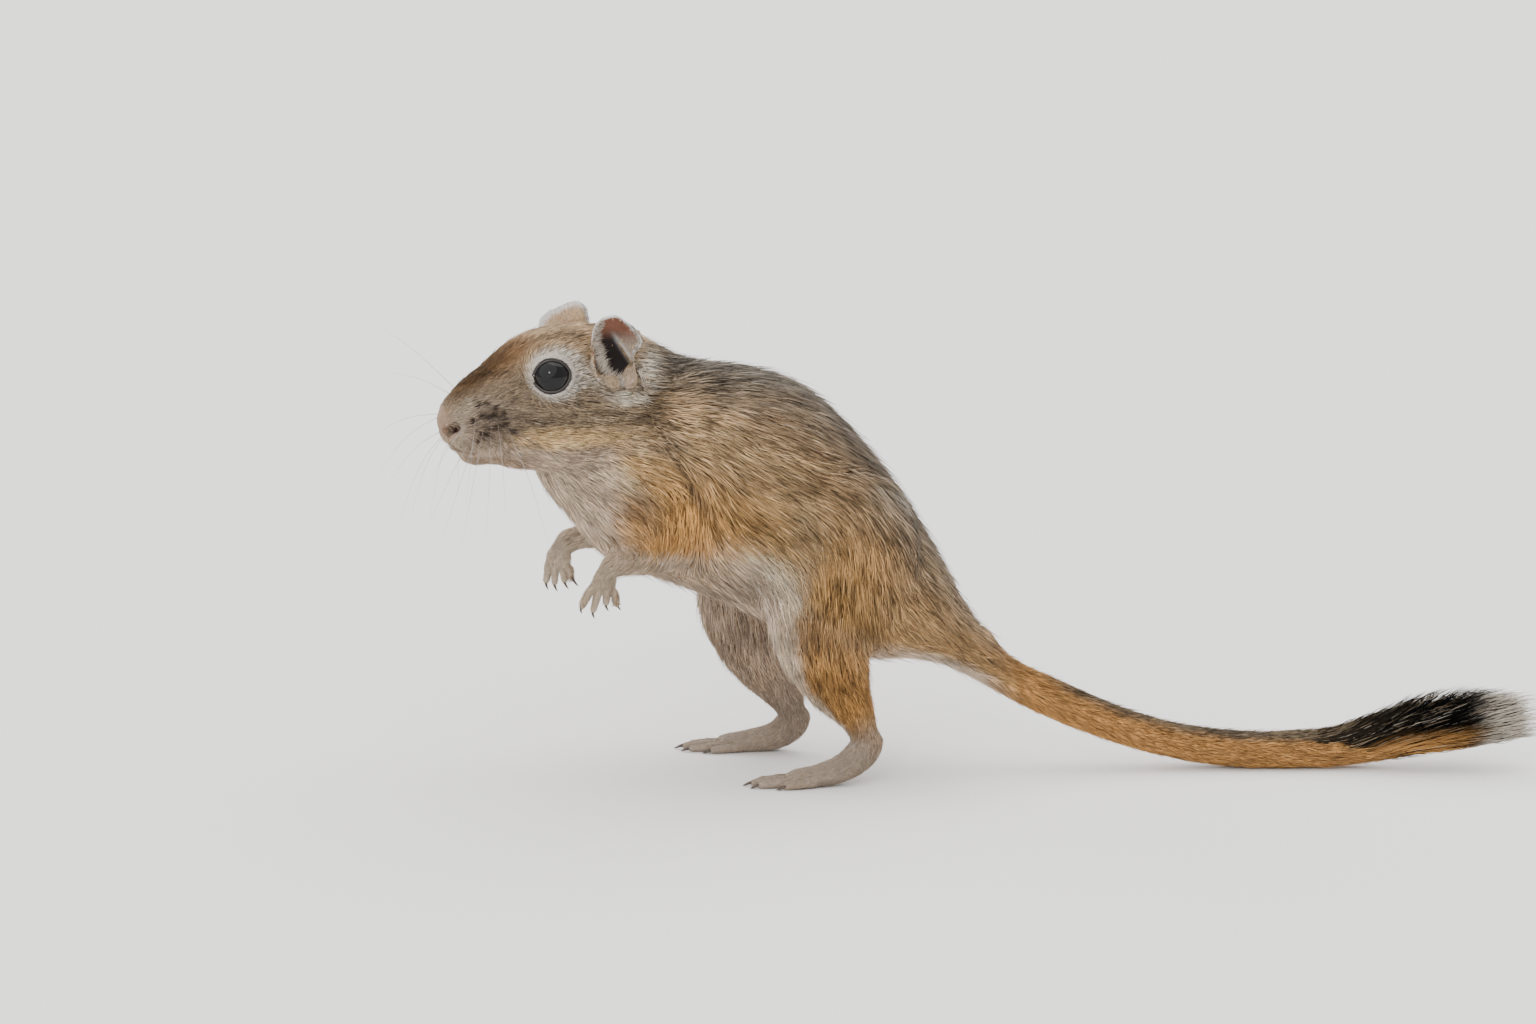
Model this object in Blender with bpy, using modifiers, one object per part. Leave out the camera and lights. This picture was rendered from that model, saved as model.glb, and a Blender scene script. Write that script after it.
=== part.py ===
"""A life-size gerbil, half upright on its hind feet, forepaws hanging and tail trailing on the floor.

It faces -X with its left side towards -Y. Lengths are written in millimetres and made metres by MM.
"""

import math
import random

import bmesh
import bpy
import numpy as np
from mathutils import Matrix, Vector
from mathutils.bvhtree import BVHTree

MM = 0.001
GAP = 0.3  # space between neighbouring pieces
PARTS = "gerbil"
CUTTERS = "cutters"
LEFT = -1
RIGHT = 1
SIDE_NAMES = {LEFT: "left", RIGHT: "right"}

# Trunk sections from the head to the tail root: back x, z, belly x, z and half width.
TRUNK = (
    (-36.0, 78.0, -49.5, 59.0, 8.5),
    (-27.0, 77.6, -46.3, 51.6, 12.0),
    (-18.5, 75.3, -41.3, 45.6, 14.5),
    (-10.0, 74.4, -35.5, 39.0, 16.5),
    (0.5, 70.8, -26.5, 35.4, 18.0),
    (9.8, 62.3, -16.5, 32.0, 18.6),
    (19.0, 50.2, -4.0, 27.0, 17.8),
    (26.5, 37.2, 10.0, 21.0, 14.2),
    (32.0, 27.0, 23.2, 20.4, 8.0),
    (38.0, 20.8, 34.2, 15.0, 4.0),
)

# Where the head turns on the neck, and how far it turns towards the animal's left.
HEAD_JOINT = (-28.7, 0.0, 67.7)
HEAD_TURN = 22.0

# Head sections from nose to nape, in the head's own frame: x, height of the widest line, rise, drop, half width.
HEAD = (
    (-38.0, -1.2, 0.6, 0.7, 0.7),
    (-37.5, -1.3, 2.0, 2.3, 2.1),
    (-36.3, -1.5, 4.1, 3.8, 3.3),
    (-34.0, -1.8, 6.8, 6.0, 4.7),
    (-31.0, -1.7, 8.9, 7.4, 6.3),
    (-27.5, -1.0, 10.8, 9.0, 7.6),
    (-24.0, -0.3, 12.6, 10.6, 9.2),
    (-19.0, 0.4, 13.8, 12.0, 11.2),
    (-13.0, 0.6, 14.1, 12.8, 12.4),
    (-7.0, 0.6, 13.6, 13.2, 12.6),
    (0.0, 0.2, 12.0, 13.4, 12.2),
    (6.0, -1.0, 9.6, 12.0, 11.0),
)

# What swells each side of the head, in its frame: centre and half sizes.
SWELLINGS = {
    "lip": ((-32.4, 3.1, -3.6), (4.4, 2.9, 3.3)),
    "whisker_pad": ((-28.5, 4.6, -2.6), (4.6, 3.3, 4.2)),
    "cheek": ((-14.5, 6.4, -3.6), (9.0, 6.0, 6.6)),
    "brow": ((-18.2, 6.3, 8.4), (5.2, 3.2, 2.6)),
    "nostril_wing": ((-36.2, 1.5, -2.2), (1.5, 1.3, 1.5)),
}
CHIN = ((-30.6, 0.0, -7.6), (3.6, 2.9, 2.2))

# Points of the head's right side, in its frame.
NOSTRIL = ((-37.6, 1.3, -3.0), (-36.4, 2.3, -3.1), (-35.3, 3.3, -2.7), (-34.6, 4.4, -1.7))
MOUTH = ((-35.9, 0.0, -5.6), (-34.8, 1.9, -6.1), (-32.8, 3.4, -6.7), (-30.4, 4.6, -6.6), (-28.4, 5.6, -5.9))
EYE_CENTRE = (-19.3, 7.9, 6.6)
EYE_RADIUS = 3.5
EYE_GAZE = (-0.34, 0.92, 0.18)
LID_RING = 3.75
LID_THICKNESS = 0.62
LID_FORWARD = 1.7

# The ears swivel apart: root, way of the opening and degrees that the tip leans forward.
EARS = {
    LEFT: ((-8.0, 11.4, 5.2), (-0.32, 0.94, 0.08), 6.0),
    RIGHT: ((-7.9, 11.4, 5.0), (0.12, 0.98, 0.10), 12.0),
}
EAR_HALF_WIDTH = 4.7
EAR_HALF_HEIGHT = 6.2
EAR_DEPTH = 3.6
EAR_WALL = 0.8
# Lobes at the ear's foot, in the ear's frame: centre and half sizes.
EAR_LOBES = (
    ((1.8, 1.4, -0.2), (0.9, 1.4, 0.8)),
    ((-1.4, 1.3, 0.1), (1.2, 1.2, 0.8)),
)

# Hind legs from hip to ankle: x, height, distance from the midline, half depth and half width.
HIND_LEGS = {
    LEFT: (
        (10.0, 56.0, 8.5, 7.0, 5.0),
        (9.0, 51.0, 11.0, 12.0, 6.8),
        (7.3, 44.0, 12.6, 14.4, 7.6),
        (4.6, 34.0, 12.8, 12.2, 7.4),
        (4.3, 27.0, 12.6, 9.8, 6.6),
        (5.2, 22.0, 12.3, 8.0, 5.4),
        (7.9, 16.0, 12.0, 5.3, 3.9),
        (10.3, 12.2, 12.0, 3.5, 2.7),
        (11.6, 8.4, 12.0, 2.3, 2.0),
    ),
    RIGHT: (
        (8.0, 56.0, 8.5, 7.0, 5.0),
        (5.0, 51.0, 11.0, 12.0, 6.8),
        (-1.0, 44.0, 12.6, 13.6, 7.6),
        (-7.8, 34.0, 12.8, 11.6, 7.4),
        (-10.2, 27.0, 12.6, 9.0, 6.6),
        (-9.2, 21.5, 12.3, 7.2, 5.4),
        (-5.9, 14.5, 12.0, 4.7, 3.7),
        (-2.3, 10.4, 12.0, 3.6, 2.7),
        (-1.2, 7.0, 12.0, 2.2, 2.0),
    ),
}
KNEE_HEIGHT = {LEFT: 29.0, RIGHT: 28.0}
ANKLE_HEIGHT = {LEFT: 12.6, RIGHT: 10.6}

# Hind feet: x and height of the heel's tip. The rest of the foot is placed from it.
HEEL = {LEFT: (15.6, 9.8), RIGHT: (2.8, 7.9)}
FOOT_OUT = 12.0
FOOT_TURN = 4.0  # degrees outward
# Foot sections from heel to ball: distance in front of the heel, height, half thickness, half width.
# A height under 1 is a share of the heel's height.
FOOT = (
    (0.9, 0.93, 1.1, 1.1),
    (2.8, 0.78, 2.9, 2.1),
    (5.2, 0.54, 3.0, 2.4),
    (7.8, 0.33, 2.6, 2.6),
    (12.0, 1.8, 2.1, 2.9),
    (16.5, 1.3, 1.6, 3.0),
    (18.0, 1.1, 1.2, 2.6),
)
# Toes: start ahead of the heel, start and end distance across, length.
TOES = (
    (13.5, -2.2, -3.3, 5.0),
    (16.0, -1.5, -2.1, 6.6),
    (16.6, 0.0, -0.1, 7.4),
    (16.0, 1.5, 1.9, 6.8),
    (13.0, 2.3, 3.2, 5.2),
)
TOE_RADIUS = 0.95
CLAW_LENGTH = 2.0

# Forelegs from shoulder to wrist: x, height, distance from the midline, half depth and half width.
FORELEGS = {
    LEFT: (
        (-15.0, 63.0, 9.0, 6.0, 4.0),
        (-17.5, 57.5, 11.0, 7.8, 5.6),
        (-20.5, 50.0, 12.8, 7.8, 5.4),
        (-22.2, 44.6, 12.6, 5.2, 4.6),
        (-25.8, 41.6, 11.4, 3.7, 3.6),
        (-30.6, 40.4, 9.9, 2.8, 2.9),
        (-34.0, 39.2, 9.2, 2.2, 2.3),
        (-35.2, 36.8, 9.0, 1.6, 2.0),
    ),
    RIGHT: (
        (-16.0, 63.0, 9.0, 6.0, 4.0),
        (-19.5, 57.0, 11.0, 7.8, 5.6),
        (-24.0, 50.0, 12.4, 7.4, 5.4),
        (-27.6, 44.8, 12.0, 5.0, 4.5),
        (-32.5, 42.0, 10.6, 3.5, 3.4),
        (-38.8, 41.3, 9.6, 2.7, 2.8),
        (-42.6, 40.0, 9.2, 2.2, 2.3),
        (-44.2, 37.4, 9.0, 1.6, 2.0),
    ),
}
WRIST = {LEFT: (-34.2, 9.1, 38.9), RIGHT: (-43.0, 9.1, 39.6)}
# Paws: degrees that the palm leans forward from straight down and that it turns to face the other paw.
PALM_LEAN = {LEFT: 16.0, RIGHT: 20.0}
PALM_TURN = 65.0
PALM_LENGTH = 4.6
PALM_HALF = (1.3, 2.6)
# Fingers from the front one to the rear: degrees from straight down towards the nose, place across, length.
FINGERS = {
    LEFT: ((27.0, 1.9, 5.2), (15.0, 0.7, 5.6), (2.0, -0.6, 4.6), (-12.0, -1.8, 3.8)),
    RIGHT: ((8.0, 1.9, 5.4), (2.0, 0.7, 5.2), (-8.0, -0.6, 4.4), (-20.0, -1.8, 3.4)),
}
FINGER_RADIUS = 0.74

# The tail's middle line from its root to its fleshy end: x, height, half height, half width.
TAIL = (
    (30.0, 23.6, 4.8, 5.4),
    (36.0, 17.9, 3.6, 4.2),
    (45.0, 13.3, 3.7, 3.8),
    (56.0, 8.6, 3.5, 3.6),
    (67.0, 5.3, 3.45, 3.5),
    (78.0, 3.6, 3.5, 3.5),
    (90.0, 3.3, 3.5, 3.4),
    (100.0, 3.6, 3.4, 3.2),
    (110.0, 4.5, 2.9, 2.7),
    (118.0, 5.7, 2.2, 2.1),
    (122.0, 6.4, 1.3, 1.3),
)
TAIL_ROOT = 37.5
TAIL_CUTS = {"tail_base": 65.0, "tail_middle": 92.0}

# Parting planes across the neck: a point and the way they face.
HEAD_CUT = ((-27.5, 0.0, 77.0), (-0.80, -0.17, 0.56))
NECK_CUT = ((-18.5, 0.0, 75.5), (-0.78, 0.0, 0.62))

# The outline that the brush's locks reach at their tips: x, height, half height, half width.
BRUSH = (
    (100.0, 5.2, 2.6, 2.6),
    (106.0, 7.2, 4.6, 4.0),
    (113.0, 8.9, 6.2, 5.0),
    (120.0, 9.6, 6.4, 5.2),
    (126.0, 9.6, 5.0, 4.2),
    (133.0, 9.0, 1.4, 1.4),
)
BRUSH_CORE = 0.4  # share of the way from the tail's own skin to the outline
# Rings of locks: x of the first and last root, number of rings and of locks in each.
LOCK_ROOTS = (97.0, 119.5)
LOCK_RINGS = 7
LOCKS_AROUND = 7
LOCK_LENGTH = 13.0
# Along a lock: share of its length, share of the way out to the outline, half thickness, half width.
# A share under 0 is how far the root lies under the tail's skin, as a share of the tail's radius.
LOCK = (
    (0.0, -0.6, 0.50, 1.2),
    (0.36, 0.50, 0.55, 1.75),
    (0.72, 0.88, 0.42, 1.30),
    (1.0, 1.0, 0.12, 0.22),
)
LOCK_FLOOR = 0.75  # lowest height of a lock's middle line

TRIANGLES = {
    "body": 2700,
    "head": 2200,
    "forepaw": 700,
    "hindfoot": 900,
    "tail": 850,
    "parting": 260,
}

# How far the skin reaches past a limb's own form where the limb is parted from the trunk.
LIMB_SWELL = 1.0

# Colour and roughness of each kind of coat.
FINISH = {
    "flank": ((0.42, 0.29, 0.17), 0.75),
    "limb": ((0.50, 0.38, 0.26), 0.75),
    "pale": ((0.60, 0.52, 0.45), 0.7),
    "skin": ((0.48, 0.33, 0.26), 0.6),
    "tail": ((0.40, 0.27, 0.14), 0.75),
    "eye": ((0.01, 0.008, 0.008), 0.05),
}

FLOOR = (0.0, 0.0, 0.0)
UP = (0.0, 0.0, 1.0)
DOWN = (0.0, 0.0, -1.0)
TO_TAIL = (1.0, 0.0, 0.0)
TO_HEAD = (-1.0, 0.0, 0.0)


def clear_scene():
    for obj in list(bpy.data.objects):
        bpy.data.objects.remove(obj)


def new_collection(name):
    made = bpy.data.collections.new(name)
    bpy.context.scene.collection.children.link(made)
    return made


def material(name, colour, roughness=0.7):
    made = bpy.data.materials.new(name)
    made.use_nodes = True
    shader = made.node_tree.nodes["Principled BSDF"]
    shader.inputs["Base Color"].default_value = (*colour, 1.0)
    shader.inputs["Roughness"].default_value = roughness
    shader.inputs["Metallic"].default_value = 0.0
    return made


def object_from(bm, name):
    """A mesh object in the helpers' collection, from a bmesh that is freed here."""
    mesh = bpy.data.meshes.new(name)
    bm.to_mesh(mesh)
    bm.free()
    obj = bpy.data.objects.new(name, mesh)
    bpy.data.collections[CUTTERS].objects.link(obj)
    obj.hide_render = True
    obj.display_type = "WIRE"
    return obj


def discard(*objects):
    for obj in objects:
        bpy.data.objects.remove(obj)


def smooth_rows(rows, steps):
    """Rows read from a smooth curve through the given rows, with a number of steps to each span."""
    rows = np.asarray(rows, float)
    before = 2 * rows[0] - rows[1]
    after = 2 * rows[-1] - rows[-2]
    padded = np.vstack((before, rows, after))
    read = []
    for i in range(len(rows) - 1):
        a, b, c, d = padded[i : i + 4]
        for t in np.arange(steps) / steps:
            bend = (2 * a - 5 * b + 4 * c - d) * t**2 + (3 * b - a - 3 * c + d) * t**3
            read.append(0.5 * (2 * b + (c - a) * t + bend))
    read.append(rows[-1])
    return np.array(read)


def loft(sections, sides=24, steps=3):
    """A closed form through oval sections. Each is a centre and its reach up, down and sideways."""
    rows = smooth_rows([np.concatenate(section) for section in sections], steps) * MM
    bm = bmesh.new()
    rings = []
    for centre, up, down, across in rows.reshape(len(rows), 4, 3):
        ring = []
        for turn in range(sides):
            angle = 2 * math.pi * turn / sides
            high = up * max(math.sin(angle), 0) + down * max(-math.sin(angle), 0)
            ring.append(bm.verts.new(centre + high + across * math.cos(angle)))
        rings.append(ring)
    for first, second in zip(rings, rings[1:]):
        for i in range(sides):
            j = (i + 1) % sides
            bm.faces.new((first[i], first[j], second[j], second[i]))
    bm.faces.new(rings[0])
    bm.faces.new(rings[-1])
    bmesh.ops.recalc_face_normals(bm, faces=bm.faces)
    return bm


def profile_sections(rows):
    """Sections of a form on the midline, each from its upper and its lower point and its half width."""
    made = []
    for high_x, high_z, low_x, low_z, width in rows:
        high = np.array((high_x, 0.0, high_z))
        low = np.array((low_x, 0.0, low_z))
        centre = (high + low) / 2
        made.append((centre, high - centre, low - centre, (0.0, width, 0.0)))
    return made


def path_sections(points, depths, widths, across=(0.0, 1.0, 0.0)):
    """Sections square to a path: depths lie across it in the plane of its bends, widths along across."""
    points = np.asarray(points, float)
    along = np.gradient(points, axis=0)
    made = []
    for point, way, depth, width in zip(points, along, depths, widths):
        way = way / np.linalg.norm(way)
        side = np.asarray(across) - way * np.dot(across, way)
        side /= np.linalg.norm(side)
        up = np.cross(side, way)
        made.append((point, up * depth, -up * depth, side * width))
    return made


def leg_form(rows, side, swell=0.0):
    """A leg from its x, height, distance from the midline, half depth and half width."""
    x, z, out, depth, width = np.array(rows).T
    points = np.column_stack((x, side * out, z))
    return loft(path_sections(points, depth + swell, width + swell))


def tail_form(rows):
    x, z, height, width = np.array(rows).T
    points = np.column_stack((x, 0 * x, z))
    return loft(path_sections(points, height, width), sides=20)


def settle(obj):
    """Applies the modifiers of an object."""
    graph = bpy.context.evaluated_depsgraph_get()
    mesh = bpy.data.meshes.new_from_object(obj.evaluated_get(graph))
    obj.modifiers.clear()
    obj.data = mesh


def blended(name, forms, voxel, passes, triangles):
    """One smooth skin over forms that overlap: remeshed, smoothed and thinned to a number of triangles."""
    bm = bmesh.new()
    for form in forms:
        scratch = bpy.data.meshes.new("form")
        form.to_mesh(scratch)
        form.free()
        bm.from_mesh(scratch)
        bpy.data.meshes.remove(scratch)
    obj = object_from(bm, name)
    remesh = obj.modifiers.new("one_skin", "REMESH")
    remesh.mode = "VOXEL"
    remesh.voxel_size = voxel * MM
    smooth = obj.modifiers.new("soften", "SMOOTH")
    smooth.factor = 0.5
    smooth.iterations = passes
    settle(obj)
    thin = obj.modifiers.new("thin", "DECIMATE")
    thin.ratio = triangles / (2 * len(obj.data.polygons))
    settle(obj)
    return obj


def copy_of(obj, name, grow=0.0):
    """A copy, with its skin moved out by a number of millimetres."""
    bm = bmesh.new()
    bm.from_mesh(obj.data)
    bm.normal_update()
    moves = [vert.normal * grow * MM for vert in bm.verts]
    for vert, move in zip(bm.verts, moves):
        vert.co += move
    return object_from(bm, name)


def keep_largest(obj):
    """Leaves only the closed surface that holds the most, as three-sided faces."""
    bm = bmesh.new()
    bm.from_mesh(obj.data)
    bmesh.ops.triangulate(bm, faces=bm.faces)
    found = []
    waiting = set(bm.verts)
    while waiting:
        island = set()
        reached = [waiting.pop()]
        while reached:
            vert = reached.pop()
            island.add(vert)
            near = {edge.other_vert(vert) for edge in vert.link_edges} & waiting
            waiting -= near
            reached.extend(near)
        faces = {face for vert in island for face in vert.link_faces}
        held = sum(face.verts[0].co.dot(face.verts[1].co.cross(face.verts[2].co)) for face in faces)
        found.append((held, island))
    found.sort(key=lambda pair: pair[0])
    for _, island in found[:-1]:
        bmesh.ops.delete(bm, geom=list(island), context="VERTS")
    bm.to_mesh(obj.data)
    bm.free()


def boolean(obj, others, operation):
    """Cuts an object by others or joins them to it, and removes the others."""
    group = bpy.data.collections.new("operands")
    bpy.data.collections[CUTTERS].children.link(group)
    for other in others:
        group.objects.link(other)
    step = obj.modifiers.new(operation.lower(), "BOOLEAN")
    step.operation = operation
    step.operand_type = "COLLECTION"
    step.collection = group
    settle(obj)
    bpy.data.collections.remove(group)
    discard(*others)
    keep_largest(obj)


def plane_point(plane, way):
    """A point half the gap in front of a parting plane, or behind it."""
    point, normal = plane
    return Vector(point) + Vector(normal).normalized() * way * GAP / 2


def trimmed(obj, name, point, normal):
    """What is left behind a plane, its cut face closed, in place of the object."""
    made = behind_plane(obj, name, point, normal)
    discard(obj)
    made.name = name
    return made


def behind_plane(obj, name, point, normal):
    bm = bmesh.new()
    bm.from_mesh(obj.data)
    geometry = bm.verts[:] + bm.edges[:] + bm.faces[:]
    cut = bmesh.ops.bisect_plane(
        bm, geom=geometry, dist=1e-7, plane_co=Vector(point) * MM, plane_no=normal, clear_outer=True
    )
    rim = [item for item in cut["geom_cut"] if isinstance(item, bmesh.types.BMEdge)]
    bmesh.ops.holes_fill(bm, edges=rim, sides=0)
    bmesh.ops.recalc_face_normals(bm, faces=bm.faces)
    made = object_from(bm, name)
    keep_largest(made)
    return made


def parted(obj, names, point, normal):
    """Two pieces on either side of a plane, the gap between them; the one in front is named first."""
    plane = (point, normal)
    front = behind_plane(obj, names[0], plane_point(plane, 1), -Vector(normal))
    behind = behind_plane(obj, names[1], plane_point(plane, -1), normal)
    discard(obj)
    for piece, name in zip((front, behind), names):
        piece.name = name
    return front, behind


def ball(centre, radii, turn=None, detail=3):
    """An oval ball, turned by a matrix and put at its centre."""
    bm = bmesh.new()
    bmesh.ops.create_icosphere(bm, subdivisions=detail, radius=MM)
    place = Matrix.Translation(Vector(centre) * MM) @ (turn or Matrix()) @ Matrix.Diagonal((*radii, 1.0))
    bmesh.ops.transform(bm, matrix=place, verts=bm.verts)
    return bm


def ring_band(centre, axis, ring, thickness):
    """A ring of round section about an axis, from a turned circle."""
    bm = bmesh.new()
    bmesh.ops.create_circle(bm, segments=12, radius=thickness * MM)
    stand = Matrix.Translation((ring * MM, 0, 0)) @ Matrix.Rotation(math.pi / 2, 4, "X")
    bmesh.ops.transform(bm, matrix=stand, verts=bm.verts)
    bmesh.ops.spin(
        bm, geom=bm.verts[:] + bm.edges[:], axis=(0, 0, 1), cent=(0, 0, 0),
        angle=2 * math.pi, steps=36, use_merge=True,
    )
    bmesh.ops.recalc_face_normals(bm, faces=bm.faces)
    turn = Vector(axis).to_track_quat("Z", "Y").to_matrix().to_4x4()
    place = Matrix.Translation(Vector(centre) * MM) @ turn
    bmesh.ops.transform(bm, matrix=place, verts=bm.verts)
    return bm


def head_matrix():
    return Matrix.Translation(Vector(HEAD_JOINT) * MM) @ Matrix.Rotation(math.radians(HEAD_TURN), 4, "Z")


def set_on_neck(bm):
    bmesh.ops.transform(bm, matrix=head_matrix(), verts=bm.verts)
    return bm


def sided(point, side):
    """A point of the head given for the right side, moved to either side."""
    x, y, z = point
    return Vector((x, y * side, z))


def head_form():
    sections = []
    for x, level, rise, drop, width in HEAD:
        sections.append(((x, 0, level), (0, 0, rise), (0, 0, -drop), (0, width, 0)))
    return loft(sections, sides=32)


def muzzle_forms():
    """Whisker pads, lips, chin and cheeks, which swell the head's plain form."""
    forms = [ball(*CHIN)]
    for centre, half_sizes in SWELLINGS.values():
        forms += [ball(sided(centre, side), half_sizes) for side in SIDE_NAMES]
    return forms


def lid_forms(side):
    gaze = sided(EYE_GAZE, side).normalized()
    centre = sided(EYE_CENTRE, side) + gaze * LID_FORWARD
    return ring_band(centre, gaze, LID_RING, LID_THICKNESS)


def tube(points, radii, name, sides=8, across=(0.0, 1.0, 0.0)):
    """A closed round tube along points of the head, tapered by its radii."""
    sections = path_sections(points, radii, radii, across)
    return object_from(set_on_neck(loft(sections, sides=sides, steps=3)), name)


def nostril(side):
    points = [sided(point, side) for point in NOSTRIL]
    return tube(points, (0.75, 0.7, 0.5, 0.25), "nostril")


def mouth_line(head):
    """A groove from under the nose, along the lips, to the corners of the mouth."""
    inverse = head_matrix().inverted()
    bm = bmesh.new()
    bm.from_mesh(head.data)
    bmesh.ops.transform(bm, matrix=inverse, verts=bm.verts)
    skin = BVHTree.FromBMesh(bm)
    bm.free()
    route = []
    for side in (RIGHT, LEFT):
        points = [sided(point, side) for point in MOUTH]
        route = points[::-1] if side == RIGHT else route + points[1:]
    on_skin = [skin.find_nearest(point * MM)[0] / MM for point in route]
    radii = [0.2] + [0.42] * (len(on_skin) - 2) + [0.2]
    return tube(on_skin, radii, "mouth_line", sides=6, across=(0.0, 0.0, 1.0))


def build_head():
    forms = [head_form(), *muzzle_forms(), *(lid_forms(side) for side in (LEFT, RIGHT))]
    for form in forms:
        set_on_neck(form)
    forms.append(loft(profile_sections(TRUNK[:4])))
    head = blended("head", forms, 0.4, 4, TRIANGLES["head"])
    cutters = []
    for side in (LEFT, RIGHT):
        socket = ball(sided(EYE_CENTRE, side), [EYE_RADIUS + GAP] * 3)
        cutters.append(object_from(set_on_neck(socket), "socket"))
        cutters.append(nostril(side))
        cutters.append(ear_room(side))
    cutters.append(mouth_line(head))
    boolean(head, cutters, "DIFFERENCE")
    return head


def build_eye(side):
    eye = ball(sided(EYE_CENTRE, side), [EYE_RADIUS] * 3)
    return object_from(set_on_neck(eye), f"eye_{SIDE_NAMES[side]}")


def ear_matrix(side):
    """The ear's own frame: X to its front edge, Y up its length and Z out of its opening."""
    root, opening, lean = EARS[side]
    out = sided(opening, side).normalized()
    lean = math.radians(lean)
    up = Vector((-math.sin(lean), 0.10 * side, math.cos(lean)))
    up = (up - out * up.dot(out)).normalized()
    front = up.cross(out) * side
    turn = Matrix((front, up, out)).transposed().to_4x4()
    return head_matrix() @ Matrix.Translation(sided(root, side) * MM) @ turn


def ear_bowl(closed):
    """The ear's bowl in its own frame, with a rolled rear rim, open at the front or closed there."""
    bm = bmesh.new()
    bmesh.ops.create_uvsphere(bm, u_segments=20, v_segments=10, radius=1.0)
    geometry = bm.verts[:] + bm.edges[:] + bm.faces[:]
    cut = bmesh.ops.bisect_plane(bm, geom=geometry, plane_co=(0, 0, 0.05), plane_no=UP, clear_outer=True)
    if closed:
        rim = [item for item in cut["geom_cut"] if isinstance(item, bmesh.types.BMEdge)]
        bmesh.ops.holes_fill(bm, edges=rim, sides=0)
    for vert in bm.verts:
        x, y, z = vert.co
        narrow = 1.0 - 0.28 * max(-y, 0.0)
        roll = 1.5 * max(-x, 0.0) ** 2 * (0.6 + 0.4 * y)
        across = EAR_HALF_WIDTH * x * narrow + 0.5 * roll
        vert.co = Vector((across, EAR_HALF_HEIGHT * (y + 0.9), EAR_DEPTH * z + roll)) * MM
    bmesh.ops.recalc_face_normals(bm, faces=bm.faces)
    return bm


def place_ear(obj, side):
    place = ear_matrix(side)
    obj.data.transform(place)
    if place.determinant() < 0:
        obj.data.flip_normals()
    return obj


def build_ear(side):
    """A cup of thin wall with small lobes at its foot."""
    ear = object_from(ear_bowl(closed=False), f"ear_{SIDE_NAMES[side]}")
    wall = ear.modifiers.new("wall", "SOLIDIFY")
    wall.thickness = EAR_WALL * MM
    wall.offset = 0.0
    settle(ear)
    lobes = [object_from(ball(centre, radii, detail=2), "lobe") for centre, radii in EAR_LOBES]
    boolean(ear, lobes, "UNION")
    return place_ear(ear, side)


def ear_room(side):
    """The hollow in the head that an ear's bowl sits in."""
    bowl = object_from(ear_bowl(closed=True), "bowl")
    room = copy_of(bowl, "ear_room", grow=EAR_WALL / 2 + GAP)
    discard(bowl)
    return place_ear(room, side)


def digit(points, radius, claw):
    """A finger or toe with its knuckles, and a claw that curves down from its tip."""
    radii = np.linspace(radius, 0.8 * radius, len(points))
    radii[-1] *= 0.7
    forms = [loft(path_sections(points, radii, radii), sides=10)]
    way = np.array(points[-1]) - np.array(points[-2])
    way /= np.linalg.norm(way)
    start = np.array(points[-1]) - 0.6 * way
    drop = np.array((0.0, 0.0, -0.25))
    nail = [start, start + way * claw * 0.5, start + (way + drop) * claw * 0.9]
    forms.append(loft(path_sections(nail, (0.5, 0.42, 0.16), (0.45, 0.36, 0.14)), sides=8))
    return forms


def build_hindfoot(side):
    """The foot from its raised heel to the claws, flat under its sole."""
    heel_x, heel_z = HEEL[side]
    points = []
    for ahead, height, _, _ in FOOT:
        points.append((heel_x - ahead, side * FOOT_OUT, height * heel_z if height < 1 else height))
    depths = [row[2] for row in FOOT]
    widths = [row[3] for row in FOOT]
    forms = [loft(path_sections(points, depths, widths))]
    for start, across, end_across, length in TOES:
        x = heel_x - start
        toe = [
            (x, side * (FOOT_OUT + across), 1.0),
            (x - 0.45 * length, side * (FOOT_OUT + (across + end_across) / 2), 1.0),
            (x - length, side * (FOOT_OUT + end_across), 0.65),
        ]
        forms.extend(digit(toe, TOE_RADIUS, CLAW_LENGTH))
    turn = Matrix.Rotation(math.radians(-FOOT_TURN * side), 4, "Z")
    heel = Matrix.Translation(Vector((heel_x, side * FOOT_OUT, 0.0)) * MM)
    for form in forms:
        bmesh.ops.transform(form, matrix=heel @ turn @ heel.inverted(), verts=form.verts)
    forms.append(leg_form(HIND_LEGS[side][3:], side))
    foot = blended("foot", forms, 0.3, 2, TRIANGLES["hindfoot"])
    foot = trimmed(foot, "foot", FLOOR, DOWN)
    return trimmed(foot, f"hindfoot_{SIDE_NAMES[side]}", (0, 0, ANKLE_HEIGHT[side] - GAP / 2), UP)


def palm_way(side):
    lean = math.radians(PALM_LEAN[side])
    return np.array((-math.sin(lean), 0.0, -math.cos(lean)))


def wrist_point(side):
    x, out, z = WRIST[side]
    return np.array((x, side * out, z))


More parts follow.
